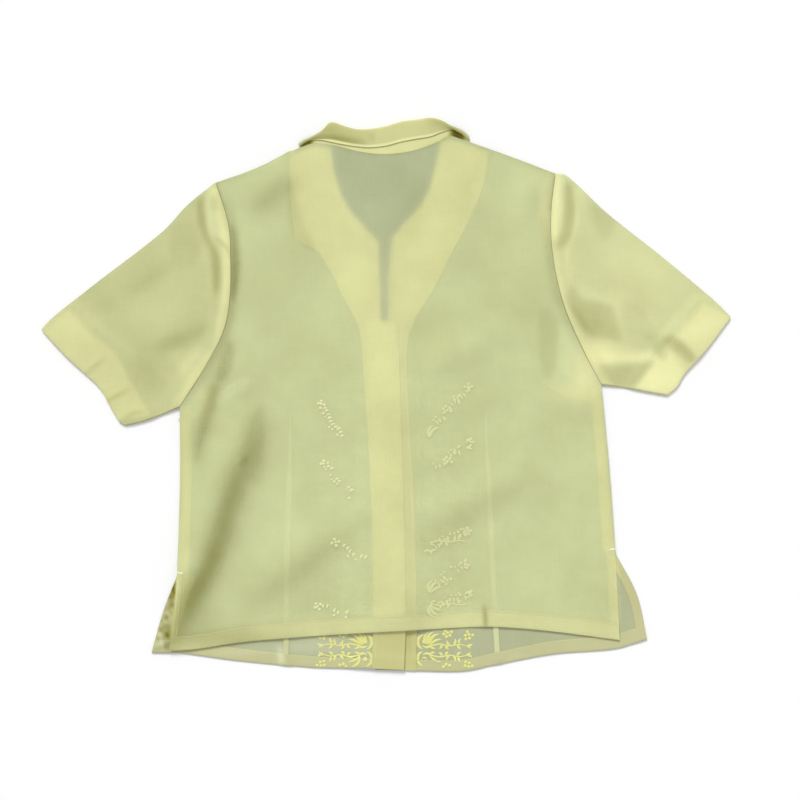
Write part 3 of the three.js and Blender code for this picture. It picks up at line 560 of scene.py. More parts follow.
def mesh_piece(name, points, faces, material, values=None):
    """A new mesh piece, its points given in millimetres, with a value of each kind on every point."""
    mesh = bpy.data.meshes.new(name)
    mesh.from_pydata((np.asarray(points) * MM).tolist(), [], [list(face) for face in faces])
    for key, value in (values or {}).items():
        layer = mesh.attributes.new(key, "FLOAT", "POINT")
        layer.data.foreach_set("value", np.asarray(value, np.float32).ravel())
    mesh.materials.append(material)
    mesh.polygons.foreach_set("use_smooth", [True] * len(mesh.polygons))
    piece = bpy.data.objects.new(name, mesh)
    bpy.context.scene.collection.objects.link(piece)
    pieces[name] = piece
    return piece


def take_up(piece):
    """Makes a piece the only one selected, and active."""
    bpy.ops.object.select_all(action="DESELECT")
    bpy.context.view_layer.objects.active = piece
    piece.select_set(True)


def thicken(piece, thick):
    """Gives a sheet its wall, half on each side, and crisp cut edges."""
    modifier = piece.modifiers.new("Wall", "SOLIDIFY")
    modifier.thickness = thick * MM
    modifier.offset = 0.0
    take_up(piece)
    bpy.ops.object.modifier_apply(modifier=modifier.name)
    bpy.ops.object.shade_smooth_by_angle(angle=math.radians(50))


def grid_faces(rows, columns, closed=False):
    """Quads over a grid of points. A closed grid joins its last column to its first."""
    j, i = np.meshgrid(np.arange(rows - 1), np.arange(columns if closed else columns - 1), indexing="ij")
    here, beside = j * columns + i, j * columns + (i + 1) % columns
    return np.stack([here, beside, beside + columns, here + columns], axis=-1).reshape(-1, 4)


def sheet_piece(name, grid, height, material, thick, shade, bare=None, turned=0.0):
    """A sheet of cloth over a grid of points, at the height of a field or of an array of its own."""
    if height.shape == GRID_X.shape:
        height = sample(height, grid)
    nothing = np.zeros(height.shape)
    values = {"shade": sample(shade, grid), "bare": nothing if bare is None else sample(bare, grid),
              "turned": nothing + turned}
    points = np.dstack([grid, height]).reshape(-1, 3)
    thicken(mesh_piece(name, points, grid_faces(*grid.shape[:2]), material, values), thick)


HEM_ROWS = 8


def turn_hem(plan, u, body_v, share, body_height, hem_height):
    """A panel with its hem turned: up the hem's inner layer, round the fold, and on over the panel."""
    hem_v = np.linspace(share, 0, HEM_ROWS)
    hem_grid, body_grid = plan(u, hem_v), plan(u, body_v)
    low_edge = body_grid[0]
    outward = low_edge - plan(u, np.array([0.01]))[0]
    outward /= np.linalg.norm(outward, axis=1)[:, None]
    hem_z, body_z = sample(hem_height, hem_grid), sample(body_height, body_grid)
    middle, half = (body_z[0] + hem_z[-1]) / 2, (body_z[0] - hem_z[-1]) / 2
    grids, heights = [hem_grid], [hem_z]
    for turn in (0.25, 0.5, 0.75):
        grids.append((low_edge + outward * (abs(half) * math.sin(math.pi * turn))[:, None])[None])
        heights.append((middle - half * math.cos(math.pi * turn))[None])
    grid = np.vstack(grids + [body_grid])
    turned = (np.arange(len(grid)) < HEM_ROWS + 2).astype(float)[:, None]
    return grid, np.vstack(heights + [body_z]), turned


# ---- Materials ----
def node(tree, kind, settings):
    """Adds a node with its settings. A setting that is another node's output is linked into it."""
    made = tree.nodes.new(kind)
    for key, value in settings.items():
        if isinstance(value, bpy.types.NodeSocket):
            tree.links.new(value, made.inputs[key])
        elif isinstance(key, int) or key in made.inputs:
            made.inputs[key].default_value = value
        else:
            setattr(made, key, value)
    return made


def rgba(code):
    """An sRGB hex colour as linear red, green and blue, and an alpha of 1."""
    channels = [int(code[i:i + 2], 16) / 255 for i in (0, 2, 4)]
    return (*(c / 12.92 if c <= 0.04045 else ((c + 0.055) / 1.055) ** 2.4 for c in channels), 1)


def new_material(name):
    """A material, its empty node tree, and the output that gives the place on a piece."""
    material = bpy.data.materials.new(name)
    material.use_nodes = True
    tree = material.node_tree
    tree.nodes.clear()
    return material, tree, node(tree, "ShaderNodeTexCoord", {}).outputs["Object"]


def point_value(tree, name):
    """A value that the mesh holds at every point."""
    return node(tree, "ShaderNodeAttribute", {"attribute_name": name}).outputs["Fac"]


def noise(tree, place, scale, settings):
    return node(tree, "ShaderNodeTexNoise", {"Scale": scale, **settings, "Vector": place}).outputs["Fac"]


def add(tree, one, other):
    return node(tree, "ShaderNodeMath", {"operation": "ADD", 0: one, 1: other}).outputs[0]


def mix(tree, share, low, high, **settings):
    """One colour blended into another by a share."""
    settings = {"data_type": "RGBA", **settings, 0: share, 6: low, 7: high}
    return node(tree, "ShaderNodeMix", settings).outputs[2]


def mapped(tree, value, before, after):
    """A value moved from one range to another, and on past its ends."""
    return node(tree, "ShaderNodeMapRange", {
        "From Min": before[0], "From Max": before[1], "To Min": after[0], "To Max": after[1], "clamp": False,
        "Value": value}).outputs[0]


def end_material(material, tree, colour, height, strength, depth, settings):
    """Ends a material in one shader, with a relief of this height, strength and depth in millimetres."""
    relief = node(tree, "ShaderNodeBump", {"Strength": strength, "Distance": depth * MM, "Height": height})
    shader = node(tree, "ShaderNodeBsdfPrincipled",
                  {**settings, "Base Color": colour, "Normal": relief.outputs[0]})
    node(tree, "ShaderNodeOutputMaterial", {"Surface": shader.outputs[0]})
    return material


CREASE_TINT = rgba("cbc9aa")     # what a full crease's shade leaves of the cloth's colour
SLUB_WIDTH = 1.2                 # wider than in real organza, so that the slubs still show
SLUB_LENGTH = 30
CLOUD = 70                       # how far apart the patches of painted, mottled shade lie, for cloth lying tightly and loosely


def organza(name, colours, covers):
    """Sheer plain-woven organza: crisp, faintly slubbed, silvery where it lies alone ("bare") and
    yellower where a hem or seam is turned under it, and where that tone is painted on as light through
    layers lying close beneath ("turned"). It is darkened by the painted shade that each piece holds
    ("shade"). Colours and covers are in that order."""
    material, tree, place = new_material(name)
    alone, turned, shade = (point_value(tree, key) for key in ("bare", "turned", "shade"))
    across, along = 1 / (SLUB_WIDTH * MM), 1 / (SLUB_LENGTH * MM)
    slubs = []
    for scale in ((across, along, 0), (along, across, 0)):
        spread = node(tree, "ShaderNodeMapping", {"Scale": scale, "Vector": place}).outputs[0]
        slubs.append(noise(tree, spread, 1.0, {"Detail": 1.0}))
    weave = add(tree, *slubs)
    cloud = noise(tree, place, 1 / (CLOUD * MM), {"Detail": 5.0, "Roughness": 0.6})
    cloth, bare, doubled = (rgba(code) for code in colours)
    tone = mix(tree, turned, mix(tree, alone, cloth, bare), doubled)
    woven = mapped(tree, weave, (0.6, 1.4), (0.06, -0.06))
    cloudy = mapped(tree, cloud, (0.3, 0.7), (-0.12, 0.12))
    # The piece's painted shade, with the slubs and a mottled painted shade, dims the tone towards
    # CREASE_TINT.
    depth = add(tree, shade, add(tree, woven, cloudy))
    dimming = mix(tree, depth, (1, 1, 1, 1), CREASE_TINT, clamp_factor=False)
    colour = mix(tree, 1.0, tone, dimming, blend_type="MULTIPLY")
    cover = covers[0]
    if len(set(covers)) > 1:
        cover = node(tree, "ShaderNodeMix", {0: alone, 2: cover, 3: covers[1]}).outputs[0]
        cover = node(tree, "ShaderNodeMix", {0: turned, 2: cover, 3: covers[2]}).outputs[0]
    return end_material(material, tree, colour, weave, 0.15, 0.15, {
        "Roughness": 0.55, "Sheen Weight": 0.15, "Sheen Roughness": 0.5, "Specular IOR Level": 0.2,
        "Alpha": cover})


def plain_organza(name, cloth, bare, cover):
    """Organza on more of its own cloth, so that it shows alike where a hem is turned under it."""
    return organza(name, (cloth, bare, cloth), (cover, cover, cover))


BACK_CLOTH = organza("organza_back_sheer", ("dfe4af", "b4ba90", "efe6a3"), (0.40, 0.86, 0.85))
FRONT_CLOTH = organza("organza_front_sheer", ("dfe4af", "b9bd96", "cbcb9a"), (0.70, 0.84, 0.80))
SLEEVE_CLOTH = organza("organza_sleeve_sheer", ("dfe2a9", "b2b88d", "f8eeac"), (0.55, 0.86, 0.85))
FACING_CLOTH = plain_organza("organza_facing_layers", "fdf2b2", "c6c486", 0.93)
HEM_CLOTH = plain_organza("organza_turned_edge", "fbf0ac", "c9c893", 0.85)
DART_CLOTH = plain_organza("organza_dart_intake", "f1f3c2", "dcdfab", 0.78)
COLLAR_CLOTH = plain_organza("organza_collar_doubled", "cfce91", "cfce91", 0.97)


def thread(name, dark, light, roughness, behind=None, cover=1.0):
    """Thread with a soft gloss, in strands 0.4 mm apart. "behind" is its tone where cloth veils it
    ("shade" 1)."""
    material, tree, place = new_material(name)
    fibre = noise(tree, place, 1 / (0.4 * MM), {"Detail": 2.0})
    tone = mix(tree, fibre, rgba(dark), rgba(light))
    if behind:
        tone = mix(tree, point_value(tree, "shade"), tone, rgba(behind))
    return end_material(material, tree, tone, fibre, 0.3, 0.1, {
        "Roughness": roughness, "Sheen Weight": 0.2, "Alpha": cover, "Specular IOR Level": 0.45})


SATIN_THREAD = thread("rayon_satin_stitch", "c6c46c", "eceb9a", 0.38, "d9dea8")
PRESSED_THREAD = {"left": thread("rayon_satin_behind_organza", "f6f7b6", "fdfdca", 0.7, cover=0.66),
                  "right": thread("rayon_satin_behind_slack_organza", "f0f2ac", "f9fac2", 0.8, cover=0.52)}
SEWING_THREAD = thread("polyester_sewing_thread", "c9c68a", "e2dfa2", 0.5)
TACK_THREAD = thread("rayon_bar_tack", "ece9b4", "fdfbdc", 0.45)
# The armhole seam's thread, painted dark with the shade that lies along the seam.
SEAM_THREAD = thread("polyester_seam_shadowed", "77712f", "8f8946", 0.7)


def pearly_plastic():
    """Moulded polyester button: pale, clouded like shell over about 3 mm, with a soft gloss."""
    material, tree, place = new_material("polyester_pearl_moulded")
    cloud = noise(tree, place, 1 / (3 * MM), {"Detail": 3.0, "Distortion": 1.5})
    return end_material(material, tree, mix(tree, cloud, rgba("e4e0b4"), rgba("f6f3d6")), cloud, 0.1, 0.1, {
        "Roughness": 0.22, "IOR": 1.55, "Coat Weight": 0.3, "Coat Roughness": 0.15})


# ---- Plans of the pieces ----
side_edges = {
    "left": {"back": edge(BACK_VENT_LEFT + SIDE_LEFT), "front": edge(FRONT_VENT_LEFT + SIDE_LEFT)},
    "right": {"back": edge(BACK_VENT_RIGHT + SIDE_RIGHT), "front": edge(FRONT_VENT_RIGHT + SIDE_RIGHT)},
}
back_plan = patch(side_edges["left"]["back"], side_edges["right"]["back"], edge(BACK_HEM), edge(BACK_TOP))
front_body = {
    "left": patch(edge(LEFT_FACING_EDGE), side_edges["left"]["front"], edge(LEFT_HEM), edge(LEFT_SHOULDER)),
    "right": patch(edge(RIGHT_FACING_EDGE), side_edges["right"]["front"], edge(RIGHT_HEM),
                   edge(RIGHT_SHOULDER)),
}
front_band = {
    "left": between(edge(LEFT_OPENING), edge(LEFT_FACING_EDGE)),
    "right": between(edge(RIGHT_OPENING), edge(RIGHT_FACING_EDGE)),
}


def shares(count, extra=()):
    """Evenly spread shares, with the ones where a cut edge turns sharply."""
    return np.unique(np.concatenate([np.linspace(0, 1, count), np.array(extra, float)]))


NECK_TUCK = 0.9       # how far below the back's top edge the fronts end
NECK = back_plan(np.linspace(0, 1, 200), np.array([1.0]))[0]
BODY_V = shares(196, [4 / ROWS, 12 / ROWS, 16 / ROWS, 16.25 / ROWS, 19 / ROWS, 20 / ROWS])
BACK_U = shares(196, [6 / 24, 17 / 24, 18 / 24])
BAND_U, SIDE_U = np.linspace(0, 1, 15), np.linspace(0, 1, 96)


def front_plan(side):
    """The whole front: its facing's zone, then the body out to the side seam."""
    def run(_, v):
        grid = np.concatenate([front_band[side](BAND_U[:-1], v), front_body[side](SIDE_U, v)], axis=1)
        if len(v) == len(BODY_V):
            top = np.interp(grid[-1, :, 0], NECK[:, 0], NECK[:, 1]) - NECK_TUCK
            grid[-1, :, 1] = np.maximum(grid[-1, :, 1], top)
        return grid

    return run


# The body's relief, and its painted shade from creases, patches, facets and slow unevenness.
body_rise, body_shade = crease_fields(BODY_CREASES)
body_rise += 0.7 * drift(150, 3) + 0.2 * drift(60, 9) + 0.8
body_shade += patch_field(PATCHES["body"]) + facet_field(FACETS["body"])
body_shade += 0.05 * drift(90, 4) + 0.03 * drift(40, 8)
front_shade = patch_field(PATCHES["front"]) + facet_field(FACETS["front"])
# The triangle at the left vent also gets a painted shade of crumples.
front_shade += 2.6 * np.clip(facet_field([VENT_TRIANGLE]), 0, None) * drift(9, 11)
placket_shade = crease_fields([PLACKET_SHADOW])[1]
back_cells = cells_of(back_plan(BACK_U, BODY_V))
covered = softened(back_cells, 1)
uncovered = 1 - covered
FRONT_RISE = 0.45     # how much of the back's relief the fronts follow
heap = Heap()


# ---- Thread: embroidery, stitches and tacks ----
def thread_piece(name, shapes, height, material, rise=0.28):
    """Domes of thread over a field of heights. Each shape is (line, width along it, how far it is veiled)."""
    profile = ((-1, 0), (-0.6, 0.8), (0, 1), (0.6, 0.8), (1, 0))
    points, faces, veils, first = [], [], [], 0
    for line, width, veil in shapes:
        way = np.gradient(line, axis=0)
        way /= np.maximum(np.linalg.norm(way, axis=1), 1e-9)[:, None]
        across = np.stack([way[:, 1], -way[:, 0]], axis=1)
        rows = [np.column_stack([line + across * (width * side / 2)[:, None],
                                 np.minimum(rise, width * 0.3) * lift - 0.05]) for side, lift in profile]
        shape = np.stack(rows, axis=1).reshape(-1, 3)
        shape[:, 2] += sample(height, shape[:, :2])
        points.append(shape)
        veils.append(np.full(len(shape), float(veil)))
        end = first + len(shape) - 5
        faces += (grid_faces(len(line), 5, closed=True) + first).tolist()
        faces += [[first + k for k in range(5)], [end + k for k in range(5)]]
        first += len(shape)
    piece = mesh_piece(name, np.vstack(points), faces, material, {"shade": np.concatenate(veils)})
    take_up(piece)
    bpy.ops.object.mode_set(mode="EDIT")
    bpy.ops.mesh.select_all(action="SELECT")
    bpy.ops.mesh.normals_make_consistent(inside=False)
    bpy.ops.object.mode_set(mode="OBJECT")


STITCH, STITCH_GAP = 2.4, 1.0


def stitches(line):
    """A row of sewn stitches along a line."""
    steps = np.hypot(*(line[1:] - line[:-1]).T)
    along = np.concatenate([[0], np.cumsum(steps)])
    row = []
    for start in np.arange(1, along[-1] - STITCH, STITCH + STITCH_GAP):
        spots = np.linspace(start, start + STITCH, 4)
        run = np.column_stack([np.interp(spots, along, line[:, 0]), np.interp(spots, along, line[:, 1])])
        row.append((run, np.array([0.25, 0.55, 0.55, 0.25]), 0))
    return row


def arc(centre, radius, start, end):
    """Nine points round part of a circle."""
    turn = np.radians(np.linspace(start, end, 9))
    return np.column_stack([centre[0] + radius * np.cos(turn), centre[1] + radius * np.sin(turn)])


def leaf(base, tip, bow, width, count=9):
    """A leaf from base to tip, bowed to one side, widest before its middle."""
    base, tip = np.array(base, float), np.array(tip, float)
    t = np.linspace(0, 1, count)[:, None]
    way = tip - base
    side = np.array([-way[1], way[0]])
    line = base + way * t + side * bow * 4 * t * (1 - t)
    return line, np.maximum(width * np.sin(np.pi * t[:, 0] ** 0.8), 0.12)


def berry(centre, radius):
    """A round dot of padded stitch."""
    t = np.linspace(-0.96, 0.96, 6)
    line = np.column_stack([centre[0] + radius * t, np.full(6, float(centre[1]))])
    return line, 2 * radius * np.sqrt(1 - t**2)


def spray():
    """One spray, from its flower at (0, 0) away along +X, as (line, width) shapes."""
    shapes = [berry((-0.5, 0.5), 3.0)]
    swell = np.sin(np.pi * np.linspace(0.02, 0.98, 9))
    shapes += [(arc((0, 0), 8.8, 95, 262), 5.0 * swell), (arc((2.2, -0.6), 5.8, -150, 10), 3.2 * swell)]
    for tip, bow, width in (((4, 12.5), 0.34, 4.4), ((11, 13.0), 0.28, 4.8), ((18, 10.5), 0.22, 4.2),
                            ((21, 4.0), 0.12, 3.4), ((13.5, -7.0), -0.22, 3.2)):
        shapes.append(leaf((6, -3.5), tip, bow, width))
    stem = smooth_line([(6, -4.5), (18, -2.0), (30, -4.0), (41, -2.0), (50, -3.5)], 22)
    shapes.append((stem, np.linspace(2.0, 1.2, 22)))
    for base, tip, bow in (((21, -2.4), (16.5, -7.4), 0.16), ((25, -3.2), (29, -8.4), -0.14),
                           ((31, -3.8), (26.5, 3.0), 0.20), ((34, -3.4), (36.0, 5.0), -0.16),
                           ((39, -2.4), (44, -7.4), -0.16), ((41, -2.0), (43, 5.5), 0.14),
                           ((49, -3.4), (55, -7.4), 0.16), ((50, -3.4), (57, -0.6), -0.16)):
        shapes.append(leaf(base, tip, bow, 3.6, 7))
    for x, y in ((25.5, 7.0), (29.8, 8.4), (22.4, 10.0), (27.0, 11.6), (31.4, 12.8), (24.0, 14.0)):
        shapes.append(berry((x, y), 2.1))
    for x, y in ((49, 4.5), (53.4, 5.6), (48.4, 9.0), (52.6, 10.0), (57.0, 9.4), (50.6, 13.2)):
        shapes.append(berry((x, y), 2.0))
    return shapes


SPRAY = spray()
PAIR_PITCH = 62.0       # from one mirrored pair of sprays to the next
PAIR_HALF = 10.0        # from a pair's mirror line to each of its flowers
PAIR_FOOT = -307.0      # the lowest mirror line
PAIRS = 6
BORDER_LIMIT = -327.0   # the fronts' lower edges beside the placket
BORDER_EDGE = {"left": -25.0, "right": 47.0}     # the flowers, at the facing's edge
# Where the back touches the embroidery, and its leaves show pale: from the outer end to the inner one.
TOUCHES = {
    "left": [((-77, -13), (-51, -54)), ((-73, -84), (-36, -122)), ((-59, -178), (-21, -199)),
             ((-80, -254), (-42, -262))],
    "right": [((98, 8), (56, -42)), ((100, -58), (57, -90)), ((96, -163), (54, -184)),
              ((93, -204), (58, -229)), ((98, -240), (56, -256))],
}
CLING_REACH = {"left": 0.0, "right": 7.0}     # how near to those runs the border's own leaves show


def leaf_run(start, end, turn):
    """A wavy run of small leaves that lean one way, some missing, with berries at its outer end."""
    start, end = np.array(start, float), np.array(end, float)
    way = (end - start) / np.linalg.norm(end - start)
    side = np.array([-way[1], way[0]])
    count = int(np.linalg.norm(end - start) / 4.4)
    shapes = []
    for i in range(1, count):
        base = start + (end - start) * i / count + side * (2.0 * math.sin(0.9 * i) - 2.5)
        tip = base + way * turn.uniform(0.5, 2.5) + side * turn.uniform(4.5, 6.5)
        if turn.uniform() < 0.75:
            shapes.append(leaf(base, tip, 0.25, turn.uniform(2.6, 3.8), 7))
        if turn.uniform() < 0.4:
            shapes.append(berry(base - side * turn.uniform(1.5, 3.5), turn.uniform(1.3, 1.9)))
    for x, y in ((-2, 0), (0.6, 3.2), (1.2, -3.0), (-4.4, 2.6), (-4.2, -2.4)):
        shapes.append(berry(start + way * x + side * y + turn.uniform(-0.6, 0.6, 2), turn.uniform(1.6, 2.3)))
    return shapes


def near_run(shape, runs, reach):
    """Whether a shape's middle is within reach of one of the runs."""
    middle = shape[0].mean(axis=0)
    gaps = []
    for start, end in runs:
        start, end = np.array(start, float), np.array(end, float)
        share = np.clip(np.dot(middle - start, end - start) / np.dot(end - start, end - start), 0, 1)
        gaps.append(np.linalg.norm(start + (end - start) * share - middle))
    return min(gaps) < reach


def border(side):
    """A border of mirrored pairs of sprays up one front, as (line, width) shapes."""
    away = -1 if side == "left" else 1
    turn = np.random.default_rng(21 if side == "left" else 22)
    shapes = []
    for pair in range(PAIRS):
        for flip in (1, -1):
            middle = np.array([BORDER_EDGE[side] + away * turn.uniform(-0.6, 0.6),
                               PAIR_FOOT + PAIR_PITCH * pair + PAIR_HALF * flip])
            lean = math.radians(turn.uniform(-2, 2))
            cos, sin = math.cos(lean), math.sin(lean)
            for line, width in SPRAY:
                x, y = (line * (away, flip)).T
                placed = np.column_stack([x * cos - y * sin, x * sin + y * cos]) + middle
                if placed[:, 1].min() > BORDER_LIMIT:
                    shapes.append((placed, width * 1.15))
    return shapes


BORDER = {side: border(side) for side in ("left", "right")}


# ---- Buttons and the layers under the back ----
BUTTON_NAMES = [f"button_{k}" for k in range(1, 6)]
for name in BUTTON_NAMES:
    low, high = (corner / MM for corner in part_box(name))
    middle = (low + high) / 2
    disc = np.hypot(GRID_X - middle.x, GRID_Y - middle.y) < (high.x - low.x) / 2 + 1
    heap.top = np.where(disc, high.z, heap.top)

LEAF_V = shares(30) * (1 - 20 / ROWS) + 20 / ROWS
LEAF_TUCK = 0.8       # how far below the back's top edge the facings and collar leaves end


def up_to_neck(grid):
    """The grid with rows that run on up to the back's top edge, where the collar and shoulder are sewn."""
    up = np.maximum(np.interp(grid[-1, :, 0], NECK[:, 0], NECK[:, 1]) - LEAF_TUCK - grid[-1, :, 1], 0.2)
    return np.concatenate([grid, [grid[-1] + np.outer(up, (0, share)) for share in (0.33, 0.67, 1.0)]])


def laid_sheet(name, grid, reach, material, thick, shade, bare=None):
    """A sheet that rests on the heap. Returns the height of its middle."""
    level = heap.lay(cells_of(grid), reach, thick)
    sheet_piece(name, grid, level, material, thick, shade, bare)
    return level


def sew(name, rows, level):
    """Rows of stitches on the face of a layer, given the height of its middle."""
    shapes = [stitch for row in rows for stitch in stitches(row)]
    thread_piece(name, shapes, level + CLOTH / 2, SEWING_THREAD, 0.2)


for side in ("right", "left"):
    grid = up_to_neck(front_band[side](np.linspace(0, 1, 18), LEAF_V))
    laid_sheet(f"collar_leaf_{side}", grid, 2, COLLAR_CLOTH, DOUBLED, body_shade)

DART_HALF = 3.6
# Darts: shares of the way along and of DART_HALF there, and each front's line, the point first or last.
DARTS = {
    "waist": (((0, 0.35, 1), (0, 1, 0.85)), {
        "left": [(-116, -4), (-115, -60), (-117, -140), (-119, -230), (-120, -322)],
        "right": [(119, 5), (121, -60), (125, -140), (129, -230), (134, -318)],
    }),
    "side": (((0, 1), (1.6, 0)), {
        "left": [(-246, -34), (-216, -14), (-188, 8), (-160, 24)],
        "right": [(257, -8), (228, -2), (200, 8), (174, 24)],
    }),
}
# How wide each armhole's seam shows: shares of its length from the shoulder, widths there.
SEAM_WIDTH = {"left": ([0, 0.45, 0.75, 1], [0.8, 0.9, 1.7, 1.9]), "right": ([0, 0.6, 1], [0.8, 0.9, 1.5])}
# Where a front's vent turning starts across it. The left one fills the triangle that shows.
VENT_TURN = {"left": 0.90, "right": 0.962}
# The embroidered zone of each front, and how much it lifts what lies on it.
BORDER_MIDDLE, BORDER_HALF, BORDER_TOP = {"left": -53, "right": 75}, 38, 60
BORDER_LIFT = 0.22


def dart(name, points, level, widest):
    """A stitched dart's intake pressed flat: widest at the waist or the seam, nothing at its point."""
    line = smooth_line(points, 60)
    half = DART_HALF * np.interp(np.linspace(0, 1, 60), *widest)
    grid = strip(line, np.maximum(half, 0.25))
    sheet_piece(name, grid, level, DART_CLOTH, 2 * CLOTH, body_shade, uncovered)
    return cells_of(grid)


for side in ("right", "left"):
    plan = front_plan(side)
    cells = cells_of(plan(None, BODY_V))
    body_level = heap.lay(cells, 5, CLOTH, FRONT_RISE * body_rise)
    shade = body_shade * covered + front_shade * uncovered
    if side == "right":
        shade = shade + placket_shade
    embroidered = (abs(GRID_X - BORDER_MIDDLE[side]) < BORDER_HALF) & (GRID_Y < BORDER_TOP) & cells
    heap.add(embroidered, body_level + CLOTH / 2, BORDER_LIFT)
    dart_level = heap.rest(1) + CLOTH
    for kind, (widest, darts) in DARTS.items():
        heap.add(dart(f"{kind}_dart_{side}", darts[side], dart_level, widest), dart_level - CLOTH, 2 * CLOTH)
    vent_grid = front_body[side](np.linspace(VENT_TURN[side], 0.998, 12), np.linspace(0, 4 / ROWS, 60))
    laid_sheet(f"front_vent_turning_{side}", vent_grid, 1, HEM_CLOTH, CLOTH, shade, uncovered)
    hem_cells = cells_of(plan(None, np.linspace(0, FRONT_HEM_SHARE, 6)))
    hem_level = heap.lay(hem_cells, 1)
    shapes = [(line, width, float(sample(covered, line.mean(axis=0)))) for line, width in BORDER[side]]
    thread_piece(f"embroidery_{side}", shapes, np.where(hem_cells, hem_level, body_level) + CLOTH / 2,
                 SATIN_THREAD)
    grid, height, turned = turn_hem(plan, None, BODY_V, FRONT_HEM_SHARE, body_level, hem_level)
    sheet_piece(f"front_{side}", grid, height, FRONT_CLOTH, CLOTH, shade, uncovered, turned)
    sew(f"stitches_front_{side}", plan(None, np.array([HEM_SHARE * 0.78])), hem_level)
    facing_grid = up_to_neck(front_band[side](np.linspace(0.01, 1, 22), BODY_V))
    facing_level = laid_sheet(f"facing_{side}", facing_grid, 1, FACING_CLOTH, CLOTH, shade, uncovered)
    band_v = np.linspace(0.5 / ROWS, 15.7 / ROWS, 120)
    rows = [front_band[side](np.array([share]), band_v)[:, 0] for share in (0.07, 0.9)]
    sew(f"stitches_facing_{side}", rows, facing_level)

# ---- Back ----
lone = softened(heap.top < 0.6 * CLOTH, 1)
under_back = heap.top.copy()
for side, u, turning_u in (("left", np.linspace(0.002, 0.027, 5), np.linspace(0.001, 0.012, 4)),
                           ("right", np.linspace(0.998, 0.973, 5), np.linspace(0.999, 0.980, 4))):
    allowance = back_plan(u, np.linspace(4 / ROWS, 12 / ROWS, 60))
    laid_sheet(f"side_allowance_{side}", allowance, 1, HEM_CLOTH, CLOTH, body_shade)
    turning = back_plan(turning_u, np.linspace(HEM_SHARE * 0.5, 4 / ROWS, 30))
    laid_sheet(f"back_vent_turning_{side}", turning, 1, HEM_CLOTH, CLOTH, body_shade)

hem_cells = cells_of(back_plan(BACK_U, np.linspace(0, HEM_SHARE, 6)))
back_rest = heap.rest(4) + body_rise
hem_level = back_rest + CLOTH / 2
back_level = back_rest + (CLOTH + AIR) * softened(widened(hem_cells, 3), 1) + CLOTH / 2
heap.add(back_cells, back_level - CLOTH / 2)
# The back is painted lighter over its hem.
back_shade = body_shade - 0.10 * softened(hem_cells, 1)
back_shade += 0.6 * uncovered * (GRID_Y > 220)     # painted shade along the shoulders' fold lines
grid, height, turned = turn_hem(back_plan, BACK_U, BODY_V, HEM_SHARE, back_level, hem_level)
# Painted light: the back takes the lighter, yellower turned tone where more layers lie close under it.
turned = np.maximum(turned, sample(np.clip(patch_field(PAINTED_GLOWS["body"]), 0, 1), grid))
sheet_piece("back", grid, height, BACK_CLOTH, CLOTH, back_shade, lone, turned)
vent_v = np.linspace(HEM_SHARE, 3.9 / ROWS, 60)
rows = [back_plan(np.array([share]), vent_v)[:, 0] for share in (0.011, 0.981)]
sew("stitches_back", [back_plan(BACK_U, np.array([HEM_SHARE * 0.93]))[0], *rows], back_level)
# The back clings to some leaves of the embroidery, which press up through it, level with its face.
PRESSED_RISE = 0.11
for side, runs in TOUCHES.items():
    turn = np.random.default_rng(31 if side == "left" else 32)
    pressed = [shape for start, end in runs for shape in leaf_run(start, end, turn)]
    pressed += [shape for shape in BORDER[side] if near_run(shape, runs, CLING_REACH[side])]
    thread_piece(f"embroidery_pressed_{side}", [(line, width, 0) for line, width in pressed],
                 back_level + CLOTH / 2, PRESSED_THREAD[side], PRESSED_RISE)
# Tacks across the tops of the side vents.
TACKS = {"left": [(-250.5, -212.5), (-242.5, -214)], "right": [(267.5, -186), (275.5, -184.5)]}
BAR_WIDTHS = np.array([0.5, 0.8, 0.9, 0.9, 0.9, 0.9, 0.8, 0.5])
for side, ends in TACKS.items():
    bars = [(smooth_line([(x, y + lift) for x, y in ends], 8), BAR_WIDTHS, 0) for lift in (-0.5, 0.5)]
    thread_piece(f"tack_{side}", bars, back_level + CLOTH / 2, TACK_THREAD, 0.4)

# ---- Sleeves ----
FOLD_ROUND = 2.5      # how near its folds a flattened sleeve is round
RING_HALF = 88        # points across one of its layers
seam_level = softened(widened(np.where(back_cells, back_level, 0), 4), 4)


def ring_rows(plan, v, low, high, inset=0.0):
    """Rows of a flattened tube: over its upper layer and back under it, round at both folds. Also gives how
    near each point lies to a fold, for the painted shade there.
    """
    u = (1 - np.cos(np.pi * np.linspace(0, 1, RING_HALF))) / 2
    u = inset + u * (1 - 2 * inset)
    grid = plan(u, v)
    width = np.linalg.norm(grid[:, -1] - grid[:, 0], axis=1)[:, None]
    away = np.minimum(u - u[0], u[-1] - u)[None, :] * width
    rounded = np.sqrt(np.clip(1 - (1 - np.clip(away / FOLD_ROUND, 0, 1)) ** 2, 0, 1))
    floor_z, roof_z = sample(low, grid), sample(high, grid)
    middle = (floor_z + roof_z) / 2
    upper, lower = middle + (roof_z - middle) * rounded, middle + (floor_z - middle) * rounded
    ring = np.concatenate([np.dstack([grid, upper]), np.dstack([grid, lower])[:, -2:0:-1]], axis=1)
    return ring, np.concatenate([1 - rounded, 1 - rounded[:, -2:0:-1]], axis=1)


